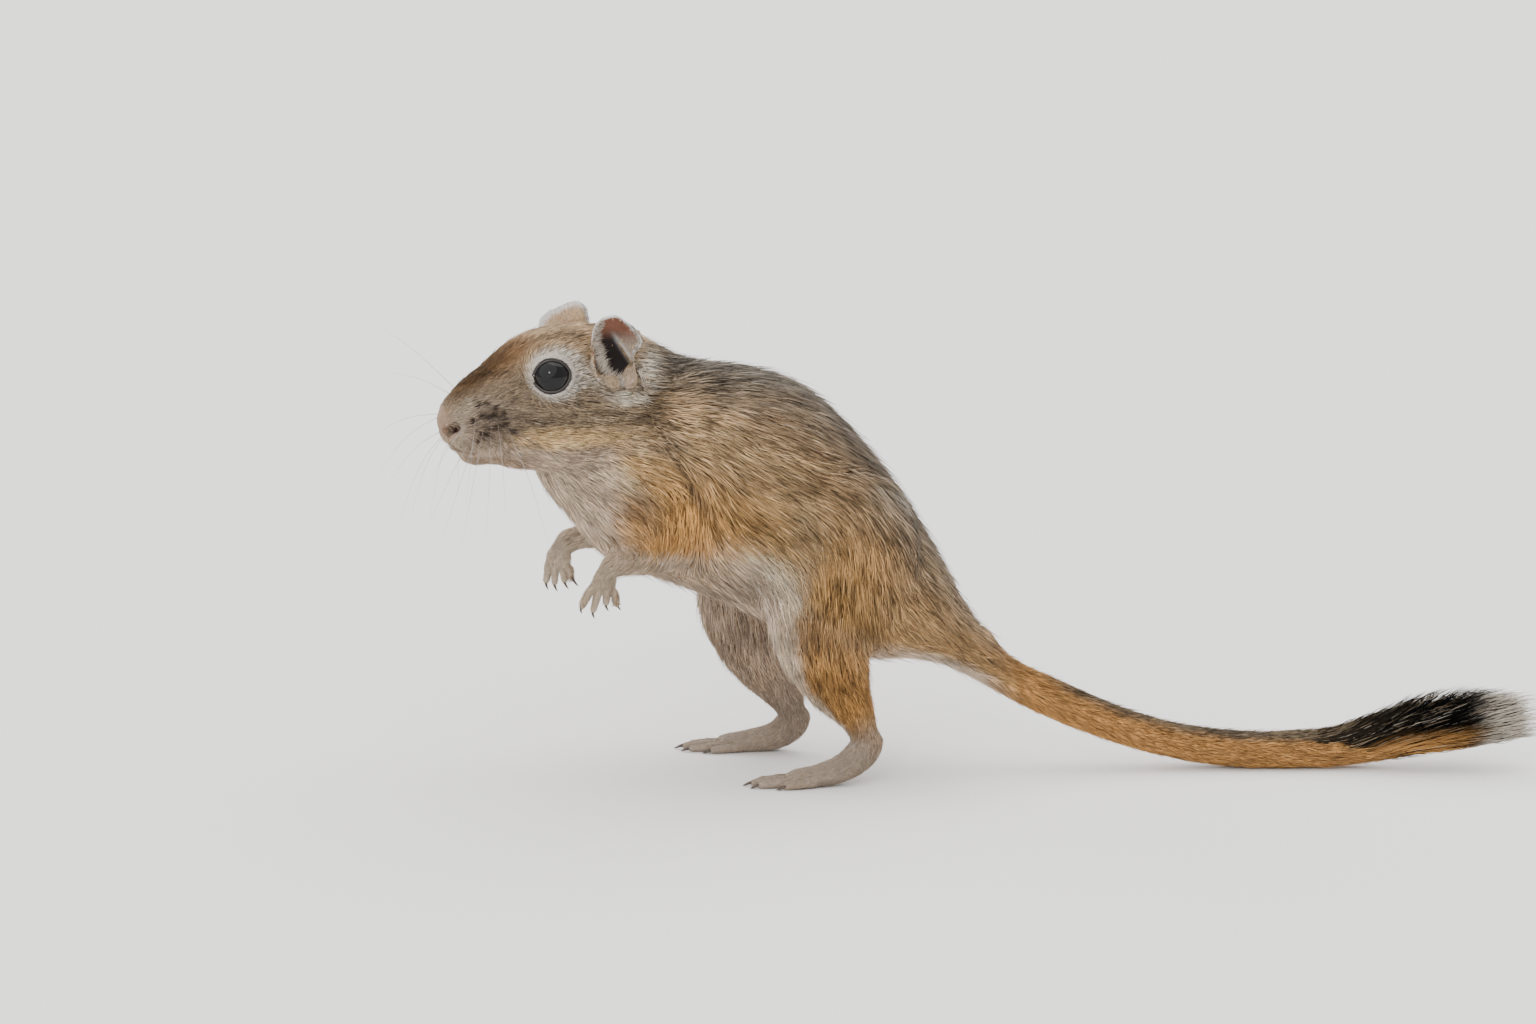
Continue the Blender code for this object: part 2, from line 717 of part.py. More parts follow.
def build_forepaw(side):
    """The hanging paw: palm, four fingers and their claws."""
    wrist = wrist_point(side)
    down = palm_way(side)
    ahead = np.array((down[2], 0.0, -down[0]))
    turn = math.radians(PALM_TURN)
    across = math.sin(turn) * ahead + math.cos(turn) * np.array((0.0, side, 0.0))
    points = [wrist - down * 1.5, wrist, wrist + down * PALM_LENGTH * 0.6, wrist + down * PALM_LENGTH]
    depths = (1.7, 1.6, PALM_HALF[0], 0.9)
    widths = (1.9, 1.9, PALM_HALF[1], 2.2)
    forms = [loft(path_sections(points, depths, widths, across))]
    for angle, place, length in FINGERS[side]:
        lean = math.radians(angle)
        way = np.array((-math.sin(lean), 0.0, -math.cos(lean)))
        start = wrist + down * PALM_LENGTH * 0.62 + across * place
        knuckle = start + way * length * 0.5 + np.array((0.0, side * 0.3, 0.0))
        forms.extend(digit([start, knuckle, start + way * length], FINGER_RADIUS, 1.6))
    forms.append(leg_form(FORELEGS[side][3:7], side))
    paw = blended("paw", forms, 0.22, 1, TRIANGLES["forepaw"])
    return trimmed(paw, f"forepaw_{SIDE_NAMES[side]}", wrist + down * GAP / 2, -down)


def build_body():
    """Neck, trunk, thighs, shanks, forelegs and tail root in one skin, parted afterwards."""
    forms = [loft(profile_sections(TRUNK), sides=32), set_on_neck(head_form()), tail_form(TAIL[:5])]
    for side in (LEFT, RIGHT):
        forms.append(leg_form(HIND_LEGS[side], side))
        forms.append(leg_form(FORELEGS[side], side))
    return blended("body", forms, 0.6, 6, TRIANGLES["body"])


def split_off(body, rows, side):
    """Cuts a limb off the body along its own form, swollen a little so that it takes the skin over it."""
    limb = copy_of(body, "limb")
    reach = blended("limb_reach", [leg_form(rows, side, LIMB_SWELL)], 0.7, 3, TRIANGLES["parting"])
    room = copy_of(reach, "limb_room", grow=GAP)
    boolean(limb, [reach], "INTERSECT")
    boolean(body, [room], "DIFFERENCE")
    return limb


def build_hindleg(body, side):
    name = SIDE_NAMES[side]
    leg = split_off(body, HIND_LEGS[side], side)
    thigh, shank = parted(leg, (f"thigh_{name}", "shank"), (0, 0, KNEE_HEIGHT[side]), UP)
    shank = trimmed(shank, f"shank_{name}", (0, 0, ANKLE_HEIGHT[side] + GAP / 2), DOWN)
    return [thigh, shank]


def build_foreleg(body, side):
    leg = split_off(body, FORELEGS[side], side)
    down = palm_way(side)
    return trimmed(leg, f"foreleg_{SIDE_NAMES[side]}", wrist_point(side) - down * GAP / 2, down)


def read_rows(rows, x):
    """Height, half height and half width at a place along the tail, as an array."""
    places, *columns = np.array(rows).T
    return np.array([np.interp(x, places, column) for column in columns])


def between(x, share):
    """The section a share of the way from the tail's own skin to the brush's outline."""
    return read_rows(TAIL, x) * (1 - share) + read_rows(BRUSH, x) * share


def brush_lock(x, angle, length):
    """A flat lock that starts under the tail's skin, bends along it and ends in a point."""
    points = []
    for along, out, _, _ in LOCK:
        ahead = x + along * length
        height, rise, width = between(ahead, max(out, 0.0))
        reach = 1 + min(out, 0.0)
        z = height + reach * rise * math.sin(angle)
        points.append((ahead, reach * width * math.cos(angle), max(z, LOCK_FLOOR)))
    _, _, depths, widths = zip(*LOCK)
    across = (0.0, -math.sin(angle), math.cos(angle))
    return loft(path_sections(points, depths, widths, across), sides=4, steps=1)


def brush_locks():
    """Rings of locks along the tail's end, each ring's set between those of the last."""
    draw = random.Random(4)
    locks = []
    for ring, x in enumerate(np.linspace(*LOCK_ROOTS, LOCK_RINGS)):
        for i in range(LOCKS_AROUND):
            turn = i + 0.5 * (ring % 2) + draw.uniform(-0.12, 0.12)
            start = x + draw.uniform(-0.8, 0.8)
            length = LOCK_LENGTH * draw.uniform(0.88, 1.06)
            lock = brush_lock(start, 2 * math.pi * turn / LOCKS_AROUND, length)
            locks.append(object_from(lock, "lock"))
    return locks


def build_tail():
    """The tail in lengths, the last with its brush."""
    core = [(x, *between(x, BRUSH_CORE)) for x, *_ in BRUSH[:-1]]
    forms = [loft(profile_sections(TRUNK[-3:])), tail_form(TAIL), tail_form(core)]
    rest = blended("tail", forms, 0.45, 3, TRIANGLES["tail"])
    rest = trimmed(rest, "tail", FLOOR, DOWN)
    rest = trimmed(rest, "tail", (TAIL_ROOT + GAP / 2, 0, 0), TO_HEAD)
    pieces = []
    for name, x in TAIL_CUTS.items():
        rest, piece = parted(rest, ("tail_end", name), (x, 0, 0), TO_TAIL)
        pieces.append(piece)
    boolean(rest, brush_locks(), "UNION")
    return [*pieces, trimmed(rest, "tail_end", FLOOR, DOWN)]


def finish(obj, stand, colour):
    """Moves a piece among the visible parts, smooth and with its material."""
    bpy.data.collections[CUTTERS].objects.unlink(obj)
    bpy.data.collections[PARTS].objects.link(obj)
    obj.hide_render = False
    obj.display_type = "TEXTURED"
    obj.parent = stand
    obj.data.materials.clear()
    obj.data.materials.append(colour)
    obj.data.shade_smooth()
    obj.data.set_sharp_from_angle(angle=math.radians(50))


def middle_of(objects):
    """The middle of the objects' common box, on the floor."""
    corners = [vert.co for obj in objects for vert in obj.data.vertices]
    low = Vector(min(corner[i] for corner in corners) for i in range(3))
    high = Vector(max(corner[i] for corner in corners) for i in range(3))
    middle = (low + high) / 2
    return Vector((middle.x, middle.y, 0.0))


def build_all():
    """Every piece with the kind of material it takes."""
    head = trimmed(build_head(), "head", plane_point(HEAD_CUT, 1), -Vector(HEAD_CUT[1]))
    made = {"skin": [build_ear(side) for side in SIDE_NAMES]}
    made["eye"] = [build_eye(side) for side in SIDE_NAMES]
    body = build_body()
    made["limb"] = [piece for side in SIDE_NAMES for piece in build_hindleg(body, side)]
    made["limb"] += [build_foreleg(body, side) for side in SIDE_NAMES]
    made["pale"] = [build_forepaw(side) for side in SIDE_NAMES]
    made["pale"] += [build_hindfoot(side) for side in SIDE_NAMES]
    body = trimmed(body, "body", plane_point(HEAD_CUT, -1), HEAD_CUT[1])
    neck, body = parted(body, ("neck", "body"), *NECK_CUT)
    torso = trimmed(body, "torso", (TAIL_ROOT - GAP / 2, 0, 0), TO_TAIL)
    made["flank"] = [head, neck, torso]
    made["tail"] = build_tail()
    return made


def main():
    clear_scene()
    new_collection(PARTS)
    new_collection(CUTTERS)
    made = build_all()
    stand = bpy.data.objects.new("middle_of_floor", None)
    bpy.data.collections[PARTS].objects.link(stand)
    stand.location = -middle_of([obj for pieces in made.values() for obj in pieces])
    for kind, pieces in made.items():
        colour, roughness = FINISH[kind]
        finish_here = material(kind, colour, roughness)
        for obj in pieces:
            finish(obj, stand, finish_here)


main()
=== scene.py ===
"""The looks of a life-size gerbil: skin, coat, eyes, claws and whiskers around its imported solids.

The animal faces -X with its left side towards -Y. Places are written in millimetres, as in the part's source,
and SHIFT moves them into the frame that the solids were packed in.
"""

import math

import bmesh
import bpy
import numpy as np
from bpy.props import FloatProperty, FloatVectorProperty, IntProperty, PointerProperty
from bpy.types import Operator, Panel, PropertyGroup
from mathutils import Matrix, Vector, noise
from mathutils.bvhtree import BVHTree
from mathutils.kdtree import KDTree


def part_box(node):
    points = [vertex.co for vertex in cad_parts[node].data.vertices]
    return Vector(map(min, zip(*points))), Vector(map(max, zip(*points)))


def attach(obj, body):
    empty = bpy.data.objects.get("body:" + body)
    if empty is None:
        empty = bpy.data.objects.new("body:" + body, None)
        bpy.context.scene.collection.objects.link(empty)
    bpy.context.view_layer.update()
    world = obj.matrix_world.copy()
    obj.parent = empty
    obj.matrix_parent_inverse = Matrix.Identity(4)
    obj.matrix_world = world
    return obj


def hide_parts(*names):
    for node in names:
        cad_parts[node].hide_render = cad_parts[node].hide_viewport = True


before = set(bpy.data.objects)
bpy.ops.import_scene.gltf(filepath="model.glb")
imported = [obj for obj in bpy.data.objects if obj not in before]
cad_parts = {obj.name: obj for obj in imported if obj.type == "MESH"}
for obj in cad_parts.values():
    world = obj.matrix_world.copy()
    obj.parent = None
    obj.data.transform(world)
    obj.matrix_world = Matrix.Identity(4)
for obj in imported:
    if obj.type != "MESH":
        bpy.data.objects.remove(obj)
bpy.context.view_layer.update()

bl_info = {
    "name": "Gerbil",
    "version": (1, 0, 0),
    "blender": (4, 5, 0),
    "location": "3D View > Sidebar > Gerbil",
    "description": "Dresses the solids of a life-size gerbil with skin, coat, eyes, claws and whiskers",
    "category": "Object",
}

MM = 0.001
BODY = "root"
LEFT = -1
RIGHT = 1
SIDE_NAMES = {LEFT: "left", RIGHT: "right"}
COAT_COLOUR = "coat"
BAKE_MAP = "OFBake"

# The head's own frame: where it turns on the neck, and how far towards the animal's left.
HEAD_JOINT = (-28.7, 0.0, 67.7)
HEAD_TURN = 22.0

# The right side of the head in its frame.
EYE_CENTRE = (-19.3, 7.9, 6.6)
EYE_GAZE = (-0.34, 0.92, 0.18)
NOSTRIL = ((-36.5, 2.2, -3.0), (-36.1, 3.1, -2.7), (-35.7, 3.9, -2.2))
MOUTH = ((-36.0, 0.0, -5.4), (-34.8, 1.9, -6.1), (-32.8, 3.4, -6.7), (-30.4, 4.6, -6.6), (-28.4, 5.6, -5.9))

# The dark spots that the whiskers grow from, and the whiskers: spot, tip and whether it is dark.
WHISKER_SPOTS = (
    (-32.6, 4.5, 1.7), (-31.4, 5.2, 1.9), (-30.3, 5.9, 1.2),
    (-33.6, 4.6, -1.1), (-32.6, 5.1, -0.5), (-31.6, 5.8, -0.5), (-30.6, 6.3, -0.1), (-29.1, 6.7, 0.2),
    (-33.4, 5.6, -3.6), (-32.4, 5.9, -2.9), (-31.7, 6.5, -2.5), (-30.4, 7.1, -1.9), (-29.2, 7.4, -1.6),
    (-27.3, 7.2, -2.5),
)
WHISKERS = {
    LEFT: (
        (0, (-39.0, 18.0, 5.0), False), (3, (-44.5, 15.5, -9.0), False), (8, (-42.6, 10.0, -17.0), False),
        (9, (-40.5, 10.0, -20.5), False), (10, (-37.5, 12.0, -21.0), False),
        (11, (-33.5, 13.0, -20.5), False), (12, (-29.5, 12.0, -17.2), False),
        (13, (-23.5, 18.0, -22.0), False), (4, (-35.8, 9.0, -15.0), False),
        (6, (-14.5, 19.0, -13.8), True), (7, (-15.8, 17.5, -5.2), True), (13, (-17.0, 16.0, -10.5), True),
        (2, (-20.0, 19.0, 6.0), True),
    ),
    RIGHT: (
        (0, (-42.6, 12.0, 5.7), False), (1, (-44.0, 15.0, 14.0), False), (3, (-47.0, 10.0, -5.0), False),
        (4, (-45.9, 10.0, -11.4), False), (8, (-43.6, 10.0, -13.0), False), (9, (-42.5, 9.0, -20.5), False),
        (10, (-39.6, 12.0, -21.0), False), (11, (-35.4, 13.0, -21.0), False),
        (12, (-30.5, 12.0, -17.2), False),
        (6, (-14.5, 19.0, -13.8), True), (7, (-15.8, 17.5, -5.2), True), (2, (-20.0, 19.0, 6.0), True),
    ),
}

# The ears swivel apart: root, way of the opening and degrees that the tip leans forward.
EARS = {
    LEFT: ((-8.0, 11.4, 5.2), (-0.32, 0.94, 0.08), 6.0),
    RIGHT: ((-7.9, 11.4, 5.0), (0.12, 0.98, 0.10), 12.0),
}
# The ears' outlines round their middle: degrees from the front edge upwards, and reach.
EAR_MIDDLE = (0.0, 6.2)
EAR_OUTLINES = {
    LEFT: (
        (-90.0, 7.2), (-66.0, 6.6), (-40.0, 5.2), (-16.0, 4.4), (3.0, 4.4), (27.0, 4.8), (49.0, 5.6),
        (72.0, 6.0), (96.0, 5.9), (112.0, 5.2), (128.0, 4.75), (145.0, 4.7), (161.0, 4.8), (174.0, 4.5),
        (187.0, 4.0), (204.0, 3.5), (220.0, 4.1), (236.0, 5.5), (252.0, 6.9), (270.0, 7.2),
    ),
    RIGHT: (
        (-90.0, 6.2), (-56.0, 5.4), (-16.0, 4.9), (10.0, 5.6), (36.0, 6.2), (57.0, 5.9), (77.0, 5.6),
        (96.0, 5.8), (115.0, 6.2), (127.0, 6.1), (142.0, 5.0), (153.0, 4.4), (182.0, 4.0), (204.0, 3.7),
        (228.0, 4.3), (250.0, 5.6), (270.0, 6.2),
    ),
}
# In an ear's frame: height and depth of its cup, the point its walls look at and its inner fold's ends.
EAR_DEPTHS = ((0.0, 3.2), (3.5, 3.7), (7.0, 3.0), (11.8, 1.6))
EAR_HOLLOW = (0.8, 6.0, 0.0)
EAR_FOLD = ((-0.5, 6.9), (-2.9, 2.4))

# Trunk sections from the head to the tail root: back x and height, belly x and height.
TRUNK = (
    (-36.0, 78.0, -49.5, 59.0), (-27.0, 77.6, -46.3, 51.6), (-18.5, 75.3, -41.3, 45.6),
    (-10.0, 74.4, -35.5, 39.0), (0.5, 70.8, -26.5, 35.4), (9.8, 62.3, -16.5, 32.0),
    (19.0, 50.2, -4.0, 27.0), (26.5, 37.2, 10.0, 21.0), (32.0, 27.0, 23.2, 20.4), (38.0, 20.8, 34.2, 15.0),
)

# Lines inside the body that the coat runs along, from where its lie starts to where it ends.
# Each point: x, distance from the midline, height, radius; then what the coat is there:
# depth, hair length, tuft width and how crowded the tufts are.
HEAD_LINE = (
    (-38.6, 0.0, -1.6, 1.6, 0.10, 0.9, 0.11, 22.0), (-35.0, 0.0, -1.6, 5.0, 0.18, 1.4, 0.13, 22.0),
    (-28.5, 0.0, -1.0, 8.6, 0.30, 2.0, 0.14, 19.0), (-20.0, 0.0, 0.5, 12.4, 0.50, 2.7, 0.16, 15.0),
    (-11.0, 0.0, 0.6, 13.4, 0.85, 3.6, 0.19, 12.0), (-1.0, 0.0, -1.0, 13.0, 1.30, 5.0, 0.22, 8.0),
)
TRUNK_LINE = (
    (-36.0, 0.0, 63.0, 13.0, 1.40, 5.6, 0.23, 7.0), (-29.9, 0.0, 60.4, 14.8, 1.50, 6.0, 0.24, 6.6),
    (-22.7, 0.0, 56.7, 17.0, 1.60, 6.4, 0.25, 6.2), (-13.0, 0.0, 53.1, 18.6, 1.70, 6.8, 0.25, 6.0),
    (-3.3, 0.0, 47.1, 18.8, 1.70, 7.0, 0.25, 6.0), (7.5, 0.0, 38.6, 17.2, 1.60, 6.8, 0.25, 6.0),
    (18.2, 0.0, 29.1, 13.6, 1.40, 6.0, 0.24, 6.4), (27.6, 0.0, 23.7, 7.6, 1.10, 4.6, 0.22, 7.5),
    (36.1, 0.0, 17.9, 4.2, 0.80, 3.4, 0.18, 9.0), (45.0, 0.0, 13.3, 3.7, 0.60, 3.0, 0.16, 10.0),
    (56.0, 0.0, 8.6, 3.5, 0.55, 3.0, 0.16, 10.0), (67.0, 0.0, 5.3, 3.4, 0.55, 3.0, 0.16, 10.0),
    (78.0, 0.0, 3.6, 3.4, 0.55, 3.2, 0.16, 10.0), (90.0, 0.0, 3.3, 3.4, 0.55, 3.4, 0.17, 10.0),
    (100.0, 0.0, 3.6, 3.2, 0.60, 4.4, 0.18, 9.0), (110.0, 0.0, 4.5, 2.7, 0.60, 5.0, 0.20, 8.0),
    (122.0, 0.0, 6.4, 1.3, 0.30, 5.0, 0.20, 7.0),
)
# The limbs' lines: x, distance from the midline, height and radius, and the coat's traits along each.
HIND_PATHS = {
    LEFT: (
        (10.0, 8.5, 54.0, 7.0), (7.3, 12.6, 44.0, 9.0), (4.6, 12.8, 34.0, 8.6), (4.6, 12.5, 25.0, 7.2),
        (7.9, 12.0, 16.0, 4.2), (11.6, 12.0, 9.6, 2.6), (8.6, 12.0, 3.6, 2.6), (0.6, 12.4, 1.4, 2.4),
        (-8.6, 12.8, 0.9, 3.0),
    ),
    RIGHT: (
        (7.0, 8.5, 54.0, 7.0), (-1.0, 12.6, 44.0, 9.0), (-7.8, 12.8, 34.0, 8.6), (-9.8, 12.5, 25.0, 7.0),
        (-5.9, 12.0, 14.5, 4.0), (-1.2, 12.0, 8.2, 2.6), (-4.2, 12.0, 3.4, 2.6), (-12.2, 12.4, 1.4, 2.4),
        (-21.4, 12.8, 0.9, 3.0),
    ),
}
HIND_COAT = (
    (1.50, 6.6, 0.25, 6.0), (1.50, 6.6, 0.25, 6.0), (1.35, 5.8, 0.24, 6.4), (1.00, 4.6, 0.22, 7.5),
    (0.48, 2.6, 0.17, 11.0), (0.26, 1.6, 0.13, 15.0), (0.18, 1.2, 0.11, 17.0), (0.10, 1.0, 0.10, 17.0),
    (0.05, 0.8, 0.09, 15.0),
)
FORE_PATHS = {
    LEFT: (
        (-15.0, 9.0, 62.0, 6.0), (-19.5, 12.4, 52.0, 6.4), (-22.2, 12.6, 44.6, 5.2), (-28.0, 10.6, 41.0, 3.4),
        (-34.2, 9.1, 38.9, 2.3), (-35.8, 8.6, 34.6, 2.4), (-36.9, 8.3, 28.4, 2.6),
    ),
    RIGHT: (
        (-16.0, 9.0, 62.0, 6.0), (-22.5, 12.2, 52.0, 6.4), (-27.6, 12.0, 44.8, 5.0), (-35.6, 10.0, 41.4, 3.2),
        (-43.0, 9.1, 39.6, 2.3), (-45.0, 8.6, 35.0, 2.4), (-45.2, 8.3, 28.8, 2.6),
    ),
}
FORE_COAT = (
    (1.50, 5.8, 0.24, 6.4), (1.30, 5.2, 0.23, 7.0), (0.90, 4.0, 0.20, 9.0), (0.50, 2.6, 0.16, 12.0),
    (0.22, 1.4, 0.12, 16.0), (0.08, 1.0, 0.09, 17.0), (0.03, 0.7, 0.08, 14.0),
)
LIMBS = {"hind": (HIND_PATHS, HIND_COAT), "fore": (FORE_PATHS, FORE_COAT)}
# An ear's line runs up the ear's own frame.
EAR_LINE = (
    (0.0, 0.6, 0.4, 3.4, 0.10, 1.6, 0.10, 20.0), (0.0, 5.0, -0.6, 4.6, 0.05, 1.4, 0.09, 20.0),
    (0.0, 11.0, 0.0, 4.0, 0.04, 1.1, 0.08, 20.0),
)
LINE_SHARPNESS = 4.0  # how quickly one line's coat gives way to the next one's
# The fold in the coat from behind the ear down to the shoulder, on the right side.
CREASE = (
    (-27.8, 10.7, 70.2), (-26.6, 11.0, 66.9), (-25.4, 12.3, 63.5), (-23.8, 13.6, 60.2), (-21.8, 14.2, 57.6),
    (-18.8, 15.6, 55.0), (-16.9, 16.0, 52.6),
)

# The tail's fleshy end: x, height and radius.
TAIL_CORE = (
    (87.0, 3.35, 3.4), (96.0, 3.45, 3.35), (104.0, 4.0, 3.0), (112.0, 4.9, 2.5), (118.0, 5.8, 1.9),
    (122.5, 6.4, 0.8),
)
# The outline that the brush's tips reach: x, height, half height, half width.
BRUSH = (
    (84.0, 3.3, 3.4, 3.3), (93.0, 3.5, 3.5, 3.3), (98.0, 4.3, 3.6, 3.2), (104.0, 6.4, 4.2, 3.6),
    (112.0, 8.6, 5.8, 4.8), (120.0, 9.6, 6.3, 5.2), (126.0, 10.0, 5.4, 4.4), (135.5, 10.6, 3.6, 2.6),
)

# Hind feet: x of the heel's tip, and the toes from it: start ahead of the heel,
# start and end distance across, length.
HEEL = {LEFT: 15.6, RIGHT: 2.8}
FOOT_OUT = 12.0
FOOT_TURN = 4.0
TOES = (
    (13.5, -2.2, -3.3, 5.0), (16.0, -1.5, -2.1, 6.6), (16.6, 0.0, -0.1, 7.4), (16.0, 1.5, 1.9, 6.8),
    (13.0, 2.3, 3.2, 5.2),
)
# A toe's start, knuckle and tip: share of its length, share of its way across and height.
TOE_JOINTS = ((0.0, 0.0, 1.0), (0.45, 0.5, 1.0), (1.0, 1.0, 0.65))
TOE_CLAW = 1.9

# Forepaws: the wrist, the palm's lean and turn, and the fingers: degrees from straight down towards the nose,
# place across, length.
WRIST = {LEFT: (-34.2, 9.1, 38.9), RIGHT: (-43.0, 9.1, 39.6)}
PALM_LEAN = {LEFT: 16.0, RIGHT: 20.0}
PALM_TURN = 65.0
PALM_LENGTH = 4.6
FINGERS = {
    LEFT: ((27.0, 1.9, 4.9), (15.0, 0.7, 5.1), (4.0, -0.6, 3.4), (-10.0, -1.8, 3.1)),
    RIGHT: ((8.0, 1.9, 4.9), (2.0, 0.7, 4.7), (-8.0, -0.6, 3.8), (-20.0, -1.8, 3.0)),
}
FINGER_CLAW = 1.6

FLESH = (
    "head", "neck", "torso", "thigh_left", "thigh_right", "shank_left", "shank_right",
    "hindfoot_left", "hindfoot_right", "foreleg_left", "foreleg_right",
    "forepaw_left", "forepaw_right", "tail_base", "tail_middle",
)
GROW = 0.3 * MM  # closes the gaps between the nodes' copies
WELD = 1e-6
SKIN_VOXEL = 0.26 * MM
SKIN_TRIANGLES = 190000
SMOOTHINGS = (("even", 2, ""), ("soften", 34, "soft"))  # name, passes and vertex group


def head_matrix():
    return Matrix.Translation(Vector(HEAD_JOINT) * MM) @ Matrix.Rotation(math.radians(HEAD_TURN), 4, "Z")


def sided(point, side):
    """A point given for the right side, moved to either side."""
    x, y, z = point
    return Vector((x, y * side, z))


def frame_shift():
    """From the part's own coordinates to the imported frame, read at the left eye's middle."""
    low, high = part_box("eye_left")
    return (low + high) / 2 - head_matrix() @ (sided(EYE_CENTRE, LEFT) * MM)


SHIFT = Matrix.Translation(frame_shift())
HEAD_FRAME = SHIFT @ head_matrix()


def ear_frame(side):
    """The ear's own frame: X to its front edge, Y up its length and Z out of its opening."""
    root, opening, lean = EARS[side]
    out = sided(opening, side).normalized()
    lean = math.radians(lean)
    up = Vector((-math.sin(lean), 0.10 * side, math.cos(lean)))
    up = (up - out * up.dot(out)).normalized()
    front = up.cross(out) * side
    turn = Matrix((front, up, out)).transposed().to_4x4()
    return HEAD_FRAME @ Matrix.Translation(sided(root, side) * MM) @ turn


def moved(matrix, points):
    """Points in millimetres, moved by a matrix, as an array in metres."""
    matrix = np.array(matrix)
    return np.asarray(points, float) * MM @ matrix[:3, :3].T + matrix[:3, 3]


def to_local(matrix, places):
    """Places in metres, read in a matrix's own frame in millimetres."""
    inverse = np.array(matrix.inverted())
    return (places @ inverse[:3, :3].T + inverse[:3, 3]) / MM


def unit(ways):
    return ways / np.maximum(np.linalg.norm(ways, axis=-1, keepdims=True), 1e-12)


def ramp(value, low, high):
    """0 under low, 1 over high and a smooth rise between; low may be the higher one."""
    share = np.clip((value - low) / (high - low), 0.0, 1.0)
    return share * share * (3 - 2 * share)


class Line:
    """A line that the coat runs along, with the coat's traits at each of its points."""

    def __init__(self, name, rows, matrix=SHIFT, side=RIGHT):
        rows = np.array(rows, float)
        points = rows[:, :3].copy()
        points[:, 1] *= side
        self.name = name
        self.side = side
        self.points = moved(matrix, points)
        self.radii = rows[:, 3] * MM
        self.traits = rows[:, 4:]
        self.ways = unit(np.gradient(self.points, axis=0))
        steps = np.linalg.norm(np.diff(self.points, axis=0), axis=1)
        self.reached = np.concatenate(([0.0], np.cumsum(steps)))

    def read(self, places):
        """At each place: nearness, traits, way and offset from the line, and how far along it lies."""
        count = len(places)
        best = np.full(count, np.inf)
        traits = np.zeros((count, self.traits.shape[1]))
        way = np.zeros((count, 3))
        offset = np.zeros((count, 3))
        along = np.zeros(count)
        for i in range(len(self.points) - 1):
            start = self.points[i]
            step = self.points[i + 1] - start
            share = np.clip((places - start) @ step / (step @ step), 0.0, 1.0)[:, None]
            away = places - start - share * step
            radius = self.radii[i] + (self.radii[i + 1] - self.radii[i]) * share[:, 0]
            nearness = np.linalg.norm(away, axis=1) / radius
            closer = nearness < best
            best[closer] = nearness[closer]
            between = self.traits[i] * (1 - share) + self.traits[i + 1] * share
            turned = self.ways[i] * (1 - share) + self.ways[i + 1] * share
            traits[closer] = between[closer]
            way[closer] = turned[closer]
            offset[closer] = (away / radius[:, None])[closer]
            reached = self.reached[i] + (self.reached[i + 1] - self.reached[i]) * share[:, 0]
            along[closer] = reached[closer]
        return best, traits, way, offset, along / self.reached[-1]


def body_lines():
    lines = [Line("head", HEAD_LINE, HEAD_FRAME), Line("trunk", TRUNK_LINE)]
    for side, name in SIDE_NAMES.items():
        for limb, (paths, coat) in LIMBS.items():
            rows = [(*place, *traits) for place, traits in zip(paths[side], coat)]
            lines.append(Line(f"{limb}_{name}", rows, SHIFT, side))
        lines.append(Line(f"ear_{name}", EAR_LINE, ear_frame(side)))
        lines[-1].side = side
    return lines


# Where an ear's skin is looked for, in mm: steps to its sides, for its steep walls, and half its thickness.
EAR_STEPS = (-0.7, 0.0, 0.7)
EAR_MID_WALL = 0.3


def ear_share(side, places):
    """1 on the ear's cup and lobes, 0 on the head round it and behind it."""
    local, turn, out = read_ear(side, places)
    within = np.minimum(out, 1.0)
    rises = np.array([
        local[:, 2] - sum(ear_height(local[:, 0] + aside, local[:, 1], turn, within)) for aside in EAR_STEPS
    ])
    nearest = np.abs(rises - EAR_MID_WALL).argmin(axis=0)
    above = np.take_along_axis(rises, nearest[None], axis=0)[0]
    share = ramp(out, 1.14, 1.05) * ramp(above, -1.0, -0.4) * ramp(above, 2.4, 1.4)
    return np.maximum(share * ramp(local[:, 1], -0.6, 0.6), ear_lobed(local))


class Coat:
    """What the coat is at many places of the skin."""

    def __init__(self, places, lines):
        self.places = places
        reads = [line.read(places) for line in lines]
        near = np.array([read[0] for read in reads])
        for line, row, read in zip(lines, near, reads):
            if line.name.startswith("ear"):
                row[:] = 4.0 - 3.9 * ear_share(line.side, places)
            elif line.name.startswith(("hind", "fore")):
                row += 0.55 * ramp(read[4], 0.24, 0.0)
        self.names = [line.name for line in lines]
        self.weights = np.exp(-LINE_SHARPNESS * (near - near.min(axis=0)))
        self.weights /= self.weights.sum(axis=0)
        self.owner = near.argmin(axis=0)
        traits = sum(weight[:, None] * read[1] for weight, read in zip(self.weights, reads))
        self.way = sum(weight[:, None] * read[2] for weight, read in zip(self.weights, reads))
        self.offsets = {line.name: read[3] for line, read in zip(lines, reads)}
        self.along = {line.name: read[4] for line, read in zip(lines, reads)}
        self.reaches = {line.name: line.reached[-1] / MM for line in lines}
        self.girths = {line.name: line.radii.mean() / MM for line in lines}
        self.depth, self.length, self.width, self.crowd = traits.T

    def weight(self, start):
        """How much each place belongs to the lines whose names start so."""
        return sum(row for name, row in zip(self.names, self.weights) if name.startswith(start))

    def limb(self, name):
        """A limb's weight at each place, the offset from its line and how far along it lies."""
        return self.weight(name), self.offsets[name], self.along[name]


def new_object(mesh, name):
    obj = bpy.data.objects.new(name, mesh)
    bpy.context.scene.collection.objects.link(obj)
    return obj


def object_from(bm, name):
    """An object from a bmesh, which is freed here."""
    mesh = bpy.data.meshes.new(name)
    bm.to_mesh(mesh)
    bm.free()
    mesh.shade_smooth()
    return new_object(mesh, name)


